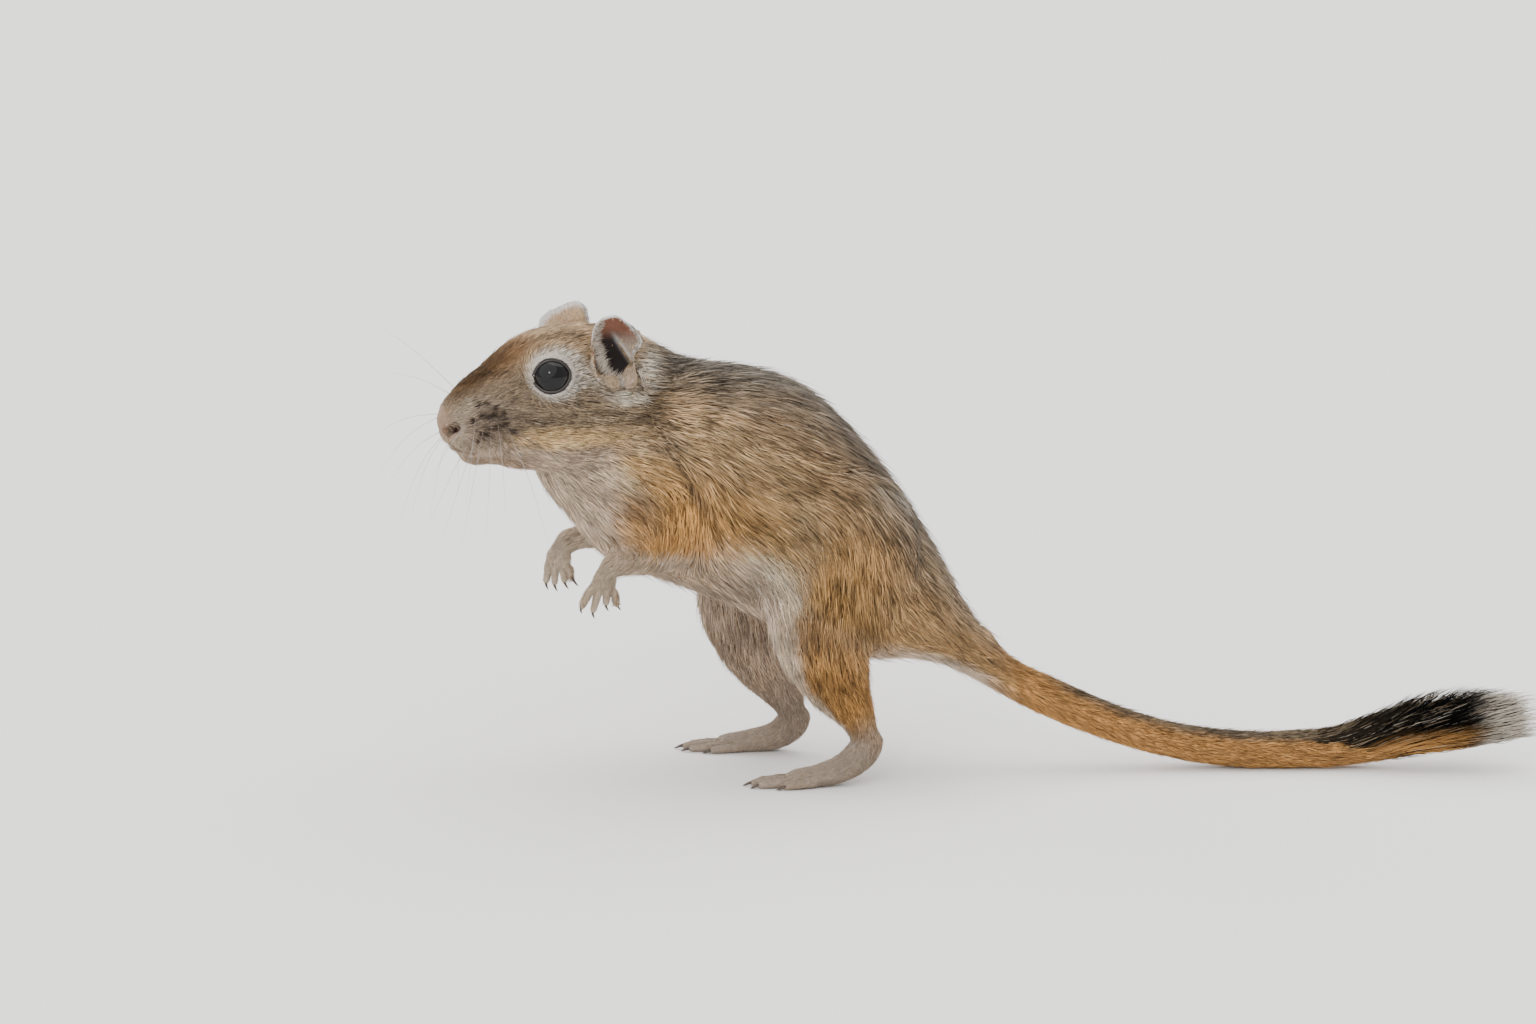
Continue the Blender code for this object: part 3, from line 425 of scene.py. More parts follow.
def settle(obj):
    """Applies the modifiers of an object."""
    graph = bpy.context.evaluated_depsgraph_get()
    mesh = bpy.data.meshes.new_from_object(obj.evaluated_get(graph))
    obj.modifiers.clear()
    old = obj.data
    obj.data = mesh
    bpy.data.meshes.remove(old)


def join(bm, others):
    """Adds other bmeshes to one and frees them."""
    for other in others:
        scratch = bpy.data.meshes.new("scratch")
        other.to_mesh(scratch)
        other.free()
        bm.from_mesh(scratch)
        bpy.data.meshes.remove(scratch)
    return bm


def grown(bm, reach):
    """Moves every point out along its normal, by one reach or one for each point."""
    bm.normal_update()
    moves = [vert.normal * step for vert, step in zip(bm.verts, np.broadcast_to(reach, len(bm.verts)))]
    for vert, move in zip(bm.verts, moves):
        vert.co += move
    return bm


# Where along a limb's line its fingers or toes begin.
DIGIT_STARTS = {"fore": (0.74, 0.80), "hind": (0.76, 0.84)}


def growth(coat):
    """How far the copies are grown to close the gaps between them: not at all on fingers and toes."""
    share = np.ones(len(coat.places))
    for name in SIDE_NAMES.values():
        for limb, (start, end) in DIGIT_STARTS.items():
            weight, _, along = coat.limb(f"{limb}_{name}")
            share -= weight * ramp(along, start, end)
    return GROW * np.clip(share, 0.0, 1.0)


def node_copy(name, lines):
    """A merged copy of a node's loose triangles, grown to close the gap to its neighbours."""
    bm = bmesh.new()
    bm.from_mesh(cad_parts[name].data)
    bmesh.ops.remove_doubles(bm, verts=bm.verts, dist=WELD)
    return grown(bm, growth(Coat(np.array([vert.co for vert in bm.verts]), lines)))


def tube(points, radii, sides, flat=1.0, across=None):
    """A closed tube drawn out ring by ring along points in metres."""
    points = [Vector(point) for point in points]
    bm = bmesh.new()
    bmesh.ops.create_circle(bm, segments=sides, radius=1.0, cap_ends=False)
    way = (points[1] - points[0]).normalized()
    turn = way.to_track_quat("Z", "Y").to_matrix()
    if across is not None:
        first = (Vector(across) - way * way.dot(Vector(across))).normalized()
        turn = Matrix((first, way.cross(first), way)).transposed()
    rim = bm.edges[:]
    placed = Matrix.Identity(4)
    for i, (point, radius) in enumerate(zip(points, radii)):
        new_way = (points[min(i + 1, len(points) - 1)] - points[max(i - 1, 0)]).normalized()
        turn = way.rotation_difference(new_way).to_matrix() @ turn
        way = new_way
        sizes = Matrix.Diagonal((radius, radius * flat, radius, 1.0))
        place = Matrix.Translation(point) @ turn.to_4x4() @ sizes
        if i:
            made = bmesh.ops.extrude_edge_only(bm, edges=rim)["geom"]
            rim = [item for item in made if isinstance(item, bmesh.types.BMEdge) and item.is_boundary]
            rim = [edge for edge in rim if all(vert.is_boundary for vert in edge.verts)]
        verts = list({vert for edge in rim for vert in edge.verts})
        bmesh.ops.transform(bm, matrix=place @ placed.inverted(), verts=verts)
        placed = place
    bmesh.ops.holes_fill(bm, edges=[edge for edge in bm.edges if edge.is_boundary], sides=0)
    bmesh.ops.recalc_face_normals(bm, faces=bm.faces)
    return bm


def smooth_line(points, steps):
    """Points read from a smooth curve through the given ones."""
    points = np.asarray(points, float)
    padded = np.vstack((2 * points[0] - points[1], points, 2 * points[-1] - points[-2]))
    read = []
    for i in range(len(points) - 1):
        a, b, c, d = padded[i : i + 4]
        for t in np.arange(steps) / steps:
            bend = (2 * a - 5 * b + 4 * c - d) * t**2 + (3 * b - a - 3 * c + d) * t**3
            read.append(0.5 * (2 * b + (c - a) * t + bend))
    read.append(points[-1])
    return np.array(read)


def ear_reach(side, turn):
    """How far an ear's outline reaches from its middle at some angles in radians."""
    degrees, reach = smooth_line(EAR_OUTLINES[side], 5).T
    return np.interp((np.degrees(turn) + 90.0) % 360.0 - 90.0, degrees, reach)


def ear_fold(across, up):
    """1 on the flap behind the ear's inner fold, and 1 along the fold's edge."""
    (x0, y0), (x1, y1) = EAR_FOLD
    ahead = ((across - x0) * (y0 - y1) + (up - y0) * (x1 - x0)) / math.hypot(x1 - x0, y1 - y0)
    counts = ramp(up, 9.6, 6.0)
    return ramp(ahead, 0.35, -0.35) * counts, np.exp(-((ahead / 0.4) ** 2)) * counts


def ear_height(across, up, turn, out):
    """The cup's height at points of the ear's plane, and how far its rear rim curls forward there."""
    heights, depths = zip(*EAR_DEPTHS)
    deep = -np.sqrt(np.clip(1 - out**2, 0, 1)) * np.interp(up, heights, depths)
    flap, ridge = ear_fold(across, up)
    deep = deep * (1 - flap) - 0.9 * np.sqrt(np.clip(1 - out**4, 0, 1)) * flap
    deep = deep + 0.45 * ridge * np.clip(1 - out**3, 0, 1)
    curl = out**5 * np.maximum(-np.cos(turn), 0.0) * (0.9 + 0.4 * np.sin(turn))
    return deep, curl


def ear_cup(side, wall):
    """The ear's thin cup: a ball whose lower half is its back and whose upper half is pressed into it."""
    bm = bmesh.new()
    bmesh.ops.create_uvsphere(bm, u_segments=72, v_segments=44, radius=1.0)
    x, y, z = np.array([vert.co for vert in bm.verts]).T
    turn = np.arctan2(y, x)
    out = np.hypot(x, y)
    inner = z > 1e-6
    reach = out * (ear_reach(side, turn) - np.where(inner, wall, 0.0))
    across = EAR_MIDDLE[0] + reach * np.cos(turn)
    up = EAR_MIDDLE[1] + reach * np.sin(turn)
    deep, curl = ear_height(across, up, turn, out)
    height = deep + curl + np.where(inner, wall * (1 - 0.4 * out), 0.0)
    for vert, place in zip(bm.verts, np.column_stack((across + 0.35 * curl, up, height))):
        vert.co = place * MM
    bmesh.ops.transform(bm, matrix=ear_frame(side), verts=bm.verts)
    bmesh.ops.recalc_face_normals(bm, faces=bm.faces)
    return bm


# Lobes at the ear's foot, in its frame: centre and half sizes.
EAR_LOBES = (
    ((-1.9, 1.2, 0.0), (1.2, 1.7, 1.1)), ((1.6, 0.6, 0.1), (1.5, 1.3, 1.0)),
)


def ear_forms(wall, side):
    """The ear's thin cup and the lobes at its foot."""
    forms = [ear_cup(side, wall / MM)]
    for centre, half_sizes in EAR_LOBES:
        lobe = bmesh.new()
        bmesh.ops.create_icosphere(lobe, subdivisions=3, radius=MM)
        place = Matrix.Translation(Vector(centre) * MM) @ Matrix.Diagonal((*half_sizes, 1.0))
        bmesh.ops.transform(lobe, matrix=ear_frame(side) @ place, verts=lobe.verts)
        bmesh.ops.recalc_face_normals(lobe, faces=lobe.faces)
        forms.append(lobe)
    return [grown(form, GROW) for form in forms]


def read_ear(side, places):
    """Places in the ear's frame, with their turn and share of the reach round its middle."""
    local = to_local(ear_frame(side), places)
    turn = np.arctan2(local[:, 1] - EAR_MIDDLE[1], local[:, 0] - EAR_MIDDLE[0])
    out = np.hypot(local[:, 0] - EAR_MIDDLE[0], local[:, 1] - EAR_MIDDLE[1]) / ear_reach(side, turn)
    return local, turn, out


def ear_facing(side, local, normals):
    """1 on surfaces that look into the ear's opening, below 0 on those that look away from it."""
    turned = normals @ np.array(ear_frame(side))[:3, :3]
    into = unit(np.array(EAR_HOLLOW) - local)
    return np.maximum((into * turned).sum(axis=1), turned[:, 2])


def ear_lobed(local):
    """1 on the lobes at the ear's foot."""
    share = np.zeros(len(local))
    for centre, half_sizes in EAR_LOBES:
        reach = np.linalg.norm((local - centre) / (np.array(half_sizes) + GROW / MM), axis=1)
        share = np.maximum(share, ramp(reach, 1.3, 1.1))
    return share


def ear_edge(local):
    """1 where an ear's edge is pale: its top and its rear, above the lobes."""
    return np.maximum(ramp(local[:, 1], 6.5, 9.0), ramp(local[:, 0], 0.5, -1.5)) * ramp(local[:, 1], 2.5, 4.0)


def sculpt_ears(places, wall):
    """Sinks the cups where the head's flesh fills them, and slopes the flesh round them to their rims."""
    for side in SIDE_NAMES:
        local, turn, out = read_ear(side, places)
        deep, curl = ear_height(local[:, 0], local[:, 1], turn, np.minimum(out, 1.0))
        beyond = (out - 1) * ear_reach(side, turn)
        slope = curl + 0.45 + 0.9 * np.maximum(beyond, 0) + 3.0 * ramp(local[:, 1], 2.5, 0.0)
        limit = np.where(out < 0.94, deep + curl + wall / MM, slope)
        high = (beyond < 4.0) & (local[:, 2] > limit) & (local[:, 2] < 4.5) & (ear_lobed(local) < 0.5)
        local[high, 2] = limit[high]
        places[high] = moved(ear_frame(side), local[high])
    return places


# How the skin keeps off an eyeball: distances from its middle in mm, and the gaze's share that opens it.
EYE_SUNK = 3.2
EYE_CLEAR = 3.75
EYE_ZONE = 3.9
EYE_OPENING = 0.3


def clear_eyes(places):
    """Holds the skin off the eyeballs: sunk within their opening, and outside them elsewhere."""
    for _, centre, gaze in eye_openings():
        away = places - centre
        gap = np.linalg.norm(away, axis=1)
        ahead = away @ gaze / gap
        within = ahead > EYE_OPENING
        held = np.where(within, np.minimum(gap, EYE_SUNK * MM), np.maximum(gap, EYE_CLEAR * MM))
        near = (gap < EYE_ZONE * MM) & ((ahead < 0.05) | within)
        places[near] = centre + (away * (held / gap)[:, None])[near]
    return places


def skin_forms(wall, lines):
    """Copies of the flesh and eye nodes, the tail's core and the ears, as one bmesh of overlapping bodies."""
    forms = [node_copy(name, lines) for name in (*FLESH, "eye_left", "eye_right")]
    core = smooth_line([(x, 0.0, z, radius) for x, z, radius in TAIL_CORE], 4)
    forms.append(tube(moved(SHIFT, core[:, :3]), core[:, 3] * MM + GROW, sides=24))
    for side in SIDE_NAMES:
        forms += ear_forms(wall, side)
    return join(bmesh.new(), forms)


def read_mesh(mesh):
    """A mesh's points and normals as arrays."""
    count = len(mesh.vertices)
    places = np.empty(count * 3)
    mesh.vertices.foreach_get("co", places)
    normals = np.empty(count * 3)
    mesh.vertex_normals.foreach_get("vector", normals)
    return places.reshape(-1, 3), normals.reshape(-1, 3)


def weight_group(obj, name, weights, levels=8):
    """Adds a vertex group whose weights are rounded to a few levels."""
    group = obj.vertex_groups.new(name=name)
    steps = np.rint(np.clip(weights, 0, 1) * levels).astype(int)
    for level in range(1, levels + 1):
        group.add(np.flatnonzero(steps == level).tolist(), level / levels, "REPLACE")


def distance_to_path(places, path):
    """How far each place lies from a path of points."""
    best = np.full(len(places), np.inf)
    for start, end in zip(path[:-1], path[1:]):
        step = end - start
        share = np.clip((places - start) @ step / (step @ step), 0, 1)[:, None]
        best = np.minimum(best, np.linalg.norm(places - start - share * step, axis=1))
    return best


def nostril_path(side):
    return moved(HEAD_FRAME, [sided(point, side) for point in NOSTRIL])


def crease_gap(places):
    """How far each place lies from the fold behind the cheek, in millimetres."""
    body = to_local(SHIFT, places)
    body[:, 1] = np.abs(body[:, 1])
    return distance_to_path(body, smooth_line(CREASE, 4))


def mouth_path():
    points = [sided(point, LEFT) for point in MOUTH[::-1]] + [sided(point, RIGHT) for point in MOUTH[1:]]
    return moved(HEAD_FRAME, smooth_line(points, 4))


def sculpt_face(places, normals):
    """Presses the fold behind the cheek, the line of the mouth and the nostrils into the skin."""
    gap = crease_gap(places)
    fold = 0.8 * np.exp(-((gap / 1.4) ** 2)) - 0.35 * np.exp(-(((gap - 3.4) / 1.6) ** 2))
    places = places - normals * (fold * MM)[:, None]
    gap = distance_to_path(places, mouth_path()) / MM
    press = 0.42 * np.exp(-((gap / 0.38) ** 2)) - 0.14 * np.exp(-(((gap - 0.95) / 0.4) ** 2))
    for side in SIDE_NAMES:
        gap = distance_to_path(places, nostril_path(side)) / MM
        press = press + 0.9 * np.exp(-((gap / 0.62) ** 2)) - 0.14 * np.exp(-(((gap - 1.3) / 0.4) ** 2))
    return places - normals * (press * MM)[:, None]


def toe_paths(side):
    """Each toe's start, knuckle and tip."""
    heel = Vector((HEEL[side], side * FOOT_OUT, 0.0))
    turn = Matrix.Rotation(math.radians(-FOOT_TURN * side), 4, "Z")
    place = Matrix.Translation(heel) @ turn @ Matrix.Translation(-heel)
    paths = []
    for start, across, end_across, length in TOES:
        path = []
        for share, aside, height in TOE_JOINTS:
            out = across + (end_across - across) * aside
            point = Vector((HEEL[side] - start - share * length, side * (FOOT_OUT + out), height))
            path.append(tuple(place @ point))
        paths.append(moved(SHIFT, path))
    return paths


def finger_paths(side):
    """Each finger's start, knuckle and tip."""
    x, out, z = WRIST[side]
    wrist = np.array((x, side * out, z))
    lean = math.radians(PALM_LEAN[side])
    down = np.array((-math.sin(lean), 0.0, -math.cos(lean)))
    ahead = np.array((down[2], 0.0, -down[0]))
    turn = math.radians(PALM_TURN)
    across = math.sin(turn) * ahead + math.cos(turn) * np.array((0.0, side, 0.0))
    paths = []
    for angle, place, length in FINGERS[side]:
        lean = math.radians(angle)
        way = np.array((-math.sin(lean), 0.0, -math.cos(lean)))
        start = wrist + down * PALM_LENGTH * 0.62 + across * place
        knuckle = start + way * length * 0.5 + np.array((0.0, side * 0.3, 0.0))
        paths.append(moved(SHIFT, [start, knuckle, start + way * length]))
    return paths


# Radii along a finger and a toe, from start to tip.
FINGER_RADII = (0.72, 0.64, 0.70, 0.62, 0.56)
TOE_RADII = (0.82, 0.68, 0.74, 0.64, 0.60)
# Skin that counts as a finger's or toe's: how near its bones, and past its tip how near and how far aside.
DIGIT_REACH = 1.5
TIP_REACH = 2.4
TIP_ASIDE = 0.9


def sculpt_digits(places):
    """Rounds every finger and toe about its bones, down to a blunt tip that a claw grows from."""
    best = np.full(len(places), np.inf)
    target = places.copy()
    digits = [(path, FINGER_RADII) for side in SIDE_NAMES for path in finger_paths(side)]
    digits += [(path, TOE_RADII) for side in SIDE_NAMES for path in toe_paths(side)]
    for path, radii in digits:
        reached = np.linalg.norm(path[1] - path[0]) / np.linalg.norm(np.diff(path, axis=0), axis=1).sum()
        for first, (start, stop) in enumerate(zip(path[:-1], path[1:])):
            step = stop - start
            raw = (places - start) @ step / (step @ step)
            share = np.clip(raw, 0.0, 1.0)
            middle = start + share[:, None] * step
            away = places - middle
            gap = np.linalg.norm(away, axis=1)
            along = share * reached if first == 0 else reached + share * (1 - reached)
            radius = np.interp(along, np.linspace(0, 1, len(radii)), radii) * MM
            past = (raw > 1.0) & (first == 1)
            aside = np.linalg.norm(places - start - raw[:, None] * step, axis=1)
            tip = (gap < TIP_REACH * MM) & (aside < TIP_ASIDE * MM)
            near = np.where(past, tip, gap < DIGIT_REACH * MM)
            closer = near & (gap < best) & (raw > -0.2)
            best[closer] = gap[closer]
            round_place = middle + unit(away) * radius[:, None]
            share_in = ramp(along, 0.1, 0.42)[:, None]
            target[closer] = (places + (round_place - places) * share_in)[closer]
    return target


def make_skin(name, wall):
    """One closed skin under the whole coat."""
    lines = body_lines()
    skin = object_from(skin_forms(wall, lines), name)
    remesh = skin.modifiers.new("one_skin", "REMESH")
    remesh.mode = "VOXEL"
    remesh.voxel_size = SKIN_VOXEL
    settle(skin)
    places, _ = read_mesh(skin.data)
    coat = Coat(places, lines)
    weight_group(skin, "soft", ramp(coat.depth, 0.15, 1.0))
    for label, passes, group in SMOOTHINGS:
        smooth = skin.modifiers.new(label, "SMOOTH")
        smooth.factor = 0.5
        smooth.iterations = passes
        smooth.vertex_group = group
    settle(skin)
    places, normals = read_mesh(skin.data)
    places -= normals * (growth(coat) + coat.depth * MM)[:, None]
    places = sculpt_face(places, normals)
    places = sculpt_digits(places)
    places = clear_eyes(sculpt_ears(places, wall))
    skin.data.vertices.foreach_set("co", places.ravel())
    skin.data.update()
    thin = skin.modifiers.new("thin", "DECIMATE")
    thin.ratio = min(1.0, SKIN_TRIANGLES / (2 * len(skin.data.polygons)))
    settle(skin)
    skin.vertex_groups.clear()
    skin.data.shade_smooth()
    return skin


# The coat's colours along the trunk's height: 1 at the back, -1 at the belly.
FLANK_LEVELS = (-0.40, -0.31, -0.12, 0.22, 0.55, 0.92)
# Ticking: how many tufts end in a dark tip.
FLANK_TICKING = (0.0, 0.02, 0.07, 0.14, 0.24, 0.34)


def trunk_level(places):
    """How high each place lies in the trunk's section there: 1 at the back, -1 at the belly."""
    local = to_local(SHIFT, places)
    rows = smooth_line(TRUNK, 6)
    high = rows[:, :2]
    low = rows[:, 2:]
    centre = (high + low) / 2
    flat = local[:, [0, 2]]
    best = np.full(len(places), np.inf)
    level = np.zeros(len(places))
    for i in range(len(rows) - 1):
        step = centre[i + 1] - centre[i]
        share = np.clip((flat - centre[i]) @ step / (step @ step), 0, 1)[:, None]
        middle = centre[i] + share * step
        reach = (high[i] - low[i]) / 2
        away = flat - middle
        gap = np.linalg.norm(away - (away @ reach / (reach @ reach))[:, None] * reach, axis=1)
        closer = gap < best
        best[closer] = gap[closer]
        level[closer] = (away @ reach / (reach @ reach))[closer]
    return level


def blob(mirrored, centre, sizes, soft):
    """1 inside an oval, falling to 0 past its rim, at places that are mirrored to the right side."""
    reach = np.linalg.norm((mirrored - np.array(centre)) / np.array(sizes), axis=1)
    return ramp(reach, 1.0 + soft, 1.0 - soft)


def mixed(first, second, share):
    return first + (np.asarray(second) - first) * share[:, None]


def markings(coat, colours):
    """The coat's colour and ticking at each place."""
    level = trunk_level(coat.places)
    shades = np.array([
        colours.belly, colours.buff, colours.flank, colours.side, colours.saddle, colours.back,
    ])
    colour = np.column_stack([np.interp(level, FLANK_LEVELS, shades[:, i]) for i in range(3)])
    ticking = np.interp(level, FLANK_LEVELS, FLANK_TICKING)
    layers = limb_layers(coat, colours) + tail_layers(coat, colours) + head_layers(coat, colours)
    for paint, share, ticks in layers:
        colour = mixed(colour, paint, share)
        ticking = ticking + (ticks - ticking) * share
    return colour, ticking


def limb_layers(coat, colours):
    """Orange shoulders and outer sides, a white chest and pale inner sides and feet."""
    x, _, z = to_local(SHIFT, coat.places).T
    level = trunk_level(coat.places)
    off_head = 1 - coat.weight("head")
    shoulder = ramp(x, 4.0, -24.0) * ramp(z, 66.0, 50.0) * ramp(z, 43.0, 47.0)
    chest = ramp(x, -32.0, -37.5) * ramp(z, 66.0, 62.0) * (1 - coat.weight("fore"))
    rump = ramp(x, -6.0, 8.0) * ramp(level, 0.7, 0.35) * ramp(x, 38.0, 29.0) * ramp(level, -0.45, -0.25)
    nape = ramp(level, 0.45, 0.8) * ramp(x, -10.0, -20.0)
    layers = [
        (colours.orange, 0.8 * shoulder * off_head, 0.18),
        (colours.throat, chest, 0.0),
        (colours.rump, rump * coat.weight("trunk") * 0.85, 0.2),
        (colours.back, nape * off_head * 0.5, 0.35),
    ]
    for side, name in SIDE_NAMES.items():
        hind, offset, along = coat.limb(f"hind_{name}")
        ahead = offset[:, 0]
        out = offset[:, 1] * side
        outer = hind * ramp(out + 0.75 * ahead, -0.3, 0.3)
        front = out * 0.45 + ahead
        layers += [
            (colours.thigh, outer * ramp(along, 0.0, 0.12) * 0.95, 0.27),
            (colours.orange, outer * ramp(along, 0.3, 0.45) * 0.6, 0.12),
            (colours.belly, hind * ramp(front, -0.30, -0.62) * ramp(along, 0.13, 0.22), 0.0),
            # Pale inner fur, made darker than the belly as painted shade for the far leg's shadowed inner
            # side.
            (colours.inner, hind * ramp(out, 0.0, -0.35) * ramp(along, 0.2, 0.3), 0.05),
            (colours.foot, hind * ramp(along, 0.57, 0.70), 0.0),
        ]
        fore, _, along = coat.limb(f"fore_{name}")
        layers += [
            (colours.orange, fore * ramp(along, 0.02, 0.3) * ramp(z, 66.0, 52.0) * 0.88, 0.12),
            (colours.throat, fore * ramp(x, -33.0, -36.5) * ramp(along, 0.45, 0.38), 0.0),
            (colours.forearm, fore * np.maximum(ramp(along, 0.55, 0.64), ramp(z, 46.5, 44.5)), 0.0),
        ]
    return layers


def tail_layers(coat, colours):
    """Tan sides, a grey-brown line above that darkens into the black brush."""
    x = to_local(SHIFT, coat.places)[:, 0]
    tail = coat.weight("trunk") * ramp(x, 28.0, 40.0)
    height = coat.offsets["trunk"][:, 2]
    crest = ramp(x, 86.0, 104.0) * ramp(height, 0.6 - (x - 86) / 30, 1.0)
    return [
        (colours.tail, tail, 0.06),
        (colours.tail_line, tail * ramp(height, 0.35, 0.8) * ramp(x, 32.0, 52.0), 0.35),
        (colours.brush, tail * crest, 0.0),
        (colours.brush, tail * ramp(x, 102.0, 108.0), 0.0),
    ]


# Heights in the head's frame of its colours from the throat up to the crown.
FACE_LEVELS = (-12.0, -6.5, -3.0, 6.0, 11.0)


def head_layers(coat, colours):
    """Dark nose ridge, pale eye ring and cheek, warm stripe, white throat and painted shade in the fold
    behind the cheek.
    """
    head = to_local(HEAD_FRAME, coat.places)
    x, _, z = head.T
    share = np.clip(coat.weight("head") + 0.6 * coat.weight("trunk") * ramp(x, 8.0, -2.0), 0, 1)
    shades = np.array([colours.throat, colours.throat, colours.cheek, colours.cheek, colours.crown])
    face = np.column_stack([np.interp(z, FACE_LEVELS, shades[:, i]) for i in range(3)])
    mirrored = np.column_stack((x, np.abs(head[:, 1]), z))
    ring = np.linalg.norm(mirrored - np.array(EYE_CENTRE) - (0.5, 0.0, 0.25), axis=1)
    cheek = share * np.maximum(ramp(z, -7.5, -5.5) * ramp(x, 2.0, -6.0), ramp(x, -10.5, -14.5))

    def spot(colour, centre, sizes, soft, part=1.0, ticks=0.0):
        return colour, share * blob(mirrored, centre, sizes, soft) * part, ticks

    layers = [
        (face, cheek, 0.16),
        spot(colours.stripe, (-19.0, 9.5, -4.0), (9.0, 6.0, 1.9), 0.5, ticks=0.05),
        spot(colours.stripe, (-8.0, 12.0, -4.5), (6.0, 6.0, 2.6), 0.6, 0.6, 0.10),
        (colours.throat, share * ramp(z, -5.2, -7.2) * ramp(x, -10.5, -14.5), 0.0),
        spot(colours.chin, (-31.0, 0.0, -8.6), (8.0, 7.5, 3.6), 0.4),
        spot(colours.forehead, (-26.0, 0.0, 9.5), (9.5, 6.0, 4.6), 0.5, 0.85, 0.25),
        spot(colours.crown, (-14.0, 0.0, 15.0), (12.0, 7.0, 5.0), 0.4, ticks=0.3),
        spot(colours.nose_ridge, (-32.5, 0.0, 6.0), (10.0, 3.6, 4.2), 0.5, ticks=0.25),
        spot(colours.muzzle, (-32.0, 5.0, -1.5), (6.0, 3.6, 4.0), 0.4, ticks=0.1),
        (colours.eye_ring, share * ramp(ring, 5.5, 3.9) * 0.8, 0.0),
        spot(colours.eye_ring, (-12.6, 10.5, 6.6), (2.4, 2.5, 3.2), 0.6, 0.35, 0.1),
        spot(colours.ear_patch, (-3.6, 8.5, 8.0), (1.5, 5.0, 4.6), 0.5, 0.75),
        spot(colours.ear_patch, (-7.8, 11.2, 2.9), (4.2, 3.0, 1.3), 0.5, 0.7),
    ]
    for side, name in SIDE_NAMES.items():
        ear = coat.weight(f"ear_{name}")
        local, _, out = read_ear(side, coat.places)
        rim = ramp(out, 0.78, 0.90) * ramp(out, 1.14, 1.06) * ear_edge(local)
        layers.append((colours.ear_back, ear, 0.0))
        layers.append((colours.ear_rim, ear * rim, 0.0))
        layers.append((colours.cheek, ear * ear_lobed(local) * 0.75, 0.1))
    layers.append(spot(colours.pad, (-30.5, 6.0, -1.2), (3.4, 2.6, 2.6), 0.5, 0.75, 0.2))
    for place in WHISKER_SPOTS:
        gap = np.linalg.norm(mirrored - place, axis=1)
        layers.append((colours.whisker_spot, share * ramp(gap, 0.7, 0.35), 0.0))
    # Painted shade: the fold behind the cheek is darkened and given more dark tips.
    layers.append((colours.crease_shade, 0.65 * ramp(crease_gap(coat.places), 2.2, 0.4), 0.3))
    return layers


def new_finish(name, roughness, specular, scale, strength, distance=0.00005):
    """A finish with fine relief from noise on object coordinates: its material, shader and noise."""
    made = bpy.data.materials.new(name)
    made.use_nodes = True
    nodes = made.node_tree.nodes
    shader = nodes["Principled BSDF"]
    place = nodes.new("ShaderNodeTexCoord")
    grain = nodes.new("ShaderNodeTexNoise")
    relief = nodes.new("ShaderNodeBump")
    settings = (
        (shader, "Roughness", roughness), (shader, "Specular IOR Level", specular), (grain, "Scale", scale),
        (grain, "Detail", 4.0), (relief, "Strength", strength), (relief, "Distance", distance),
    )
    for node, socket, value in settings:
        node.inputs[socket].default_value = value
    wire(made, place, "Object", grain, "Vector")
    wire(made, grain, "Fac", relief, "Height")
    wire(made, relief, "Normal", shader, "Normal")
    return made, shader, grain


def wire(made, source, output, target, socket):
    made.node_tree.links.new(source.outputs[output], target.inputs[socket])


def new_mix(made, blend, shader):
    """A mix of two colours that gives the shader's base colour."""
    mix = made.node_tree.nodes.new("ShaderNodeMix")
    mix.data_type = "RGBA"
    mix.blend_type = blend
    wire(made, mix, "Result", shader, "Base Color")
    return mix


def painted_finish(name, roughness, specular, scale, strength, distance, depth):
    """A finish in the points' own colours, darkened a little by its grain."""
    made, shader, grain = new_finish(name, roughness, specular, scale, strength, distance)
    colour = made.node_tree.nodes.new("ShaderNodeAttribute")
    colour.attribute_name = COAT_COLOUR
    mix = new_mix(made, "MULTIPLY", shader)
    mix.inputs["Factor"].default_value = depth
    wire(made, colour, "Color", mix, "A")
    wire(made, grain, "Fac", mix, "B")
    return made


def hair_finish(name="hair", specular=0.22):
    """The tufts' finish, with a soft gloss along the hair."""
    return painted_finish(name, 0.58, specular, 2500.0, 0.15, 0.00005, 0.25)


def skin_finish():
    """The skin's finish: the coat's markings with the grain of short hair."""
    return painted_finish("skin", 0.7, 0.3, 1800.0, 0.5, 0.0001, 0.6)


def plain_finish(name, colour, second, roughness, scale, specular=0.5, strength=0.2):
    """A finish that wanders between two colours, with fine relief."""
    made, shader, grain = new_finish(name, roughness, specular, scale, strength)
    mix = new_mix(made, "MIX", shader)
    mix.inputs["A"].default_value = (*colour, 1.0)
    mix.inputs["B"].default_value = (*second, 1.0)
    wire(made, grain, "Fac", mix, "Factor")
    return made


def paint_points(mesh, colours):
    """Writes a colour to every point of a mesh."""
    layer = mesh.attributes.new(COAT_COLOUR, "FLOAT_COLOR", "POINT")
    full = np.ones((len(mesh.vertices), 4), np.float32)
    full[:, :3] = colours
    layer.data.foreach_set("color", full.ravel())


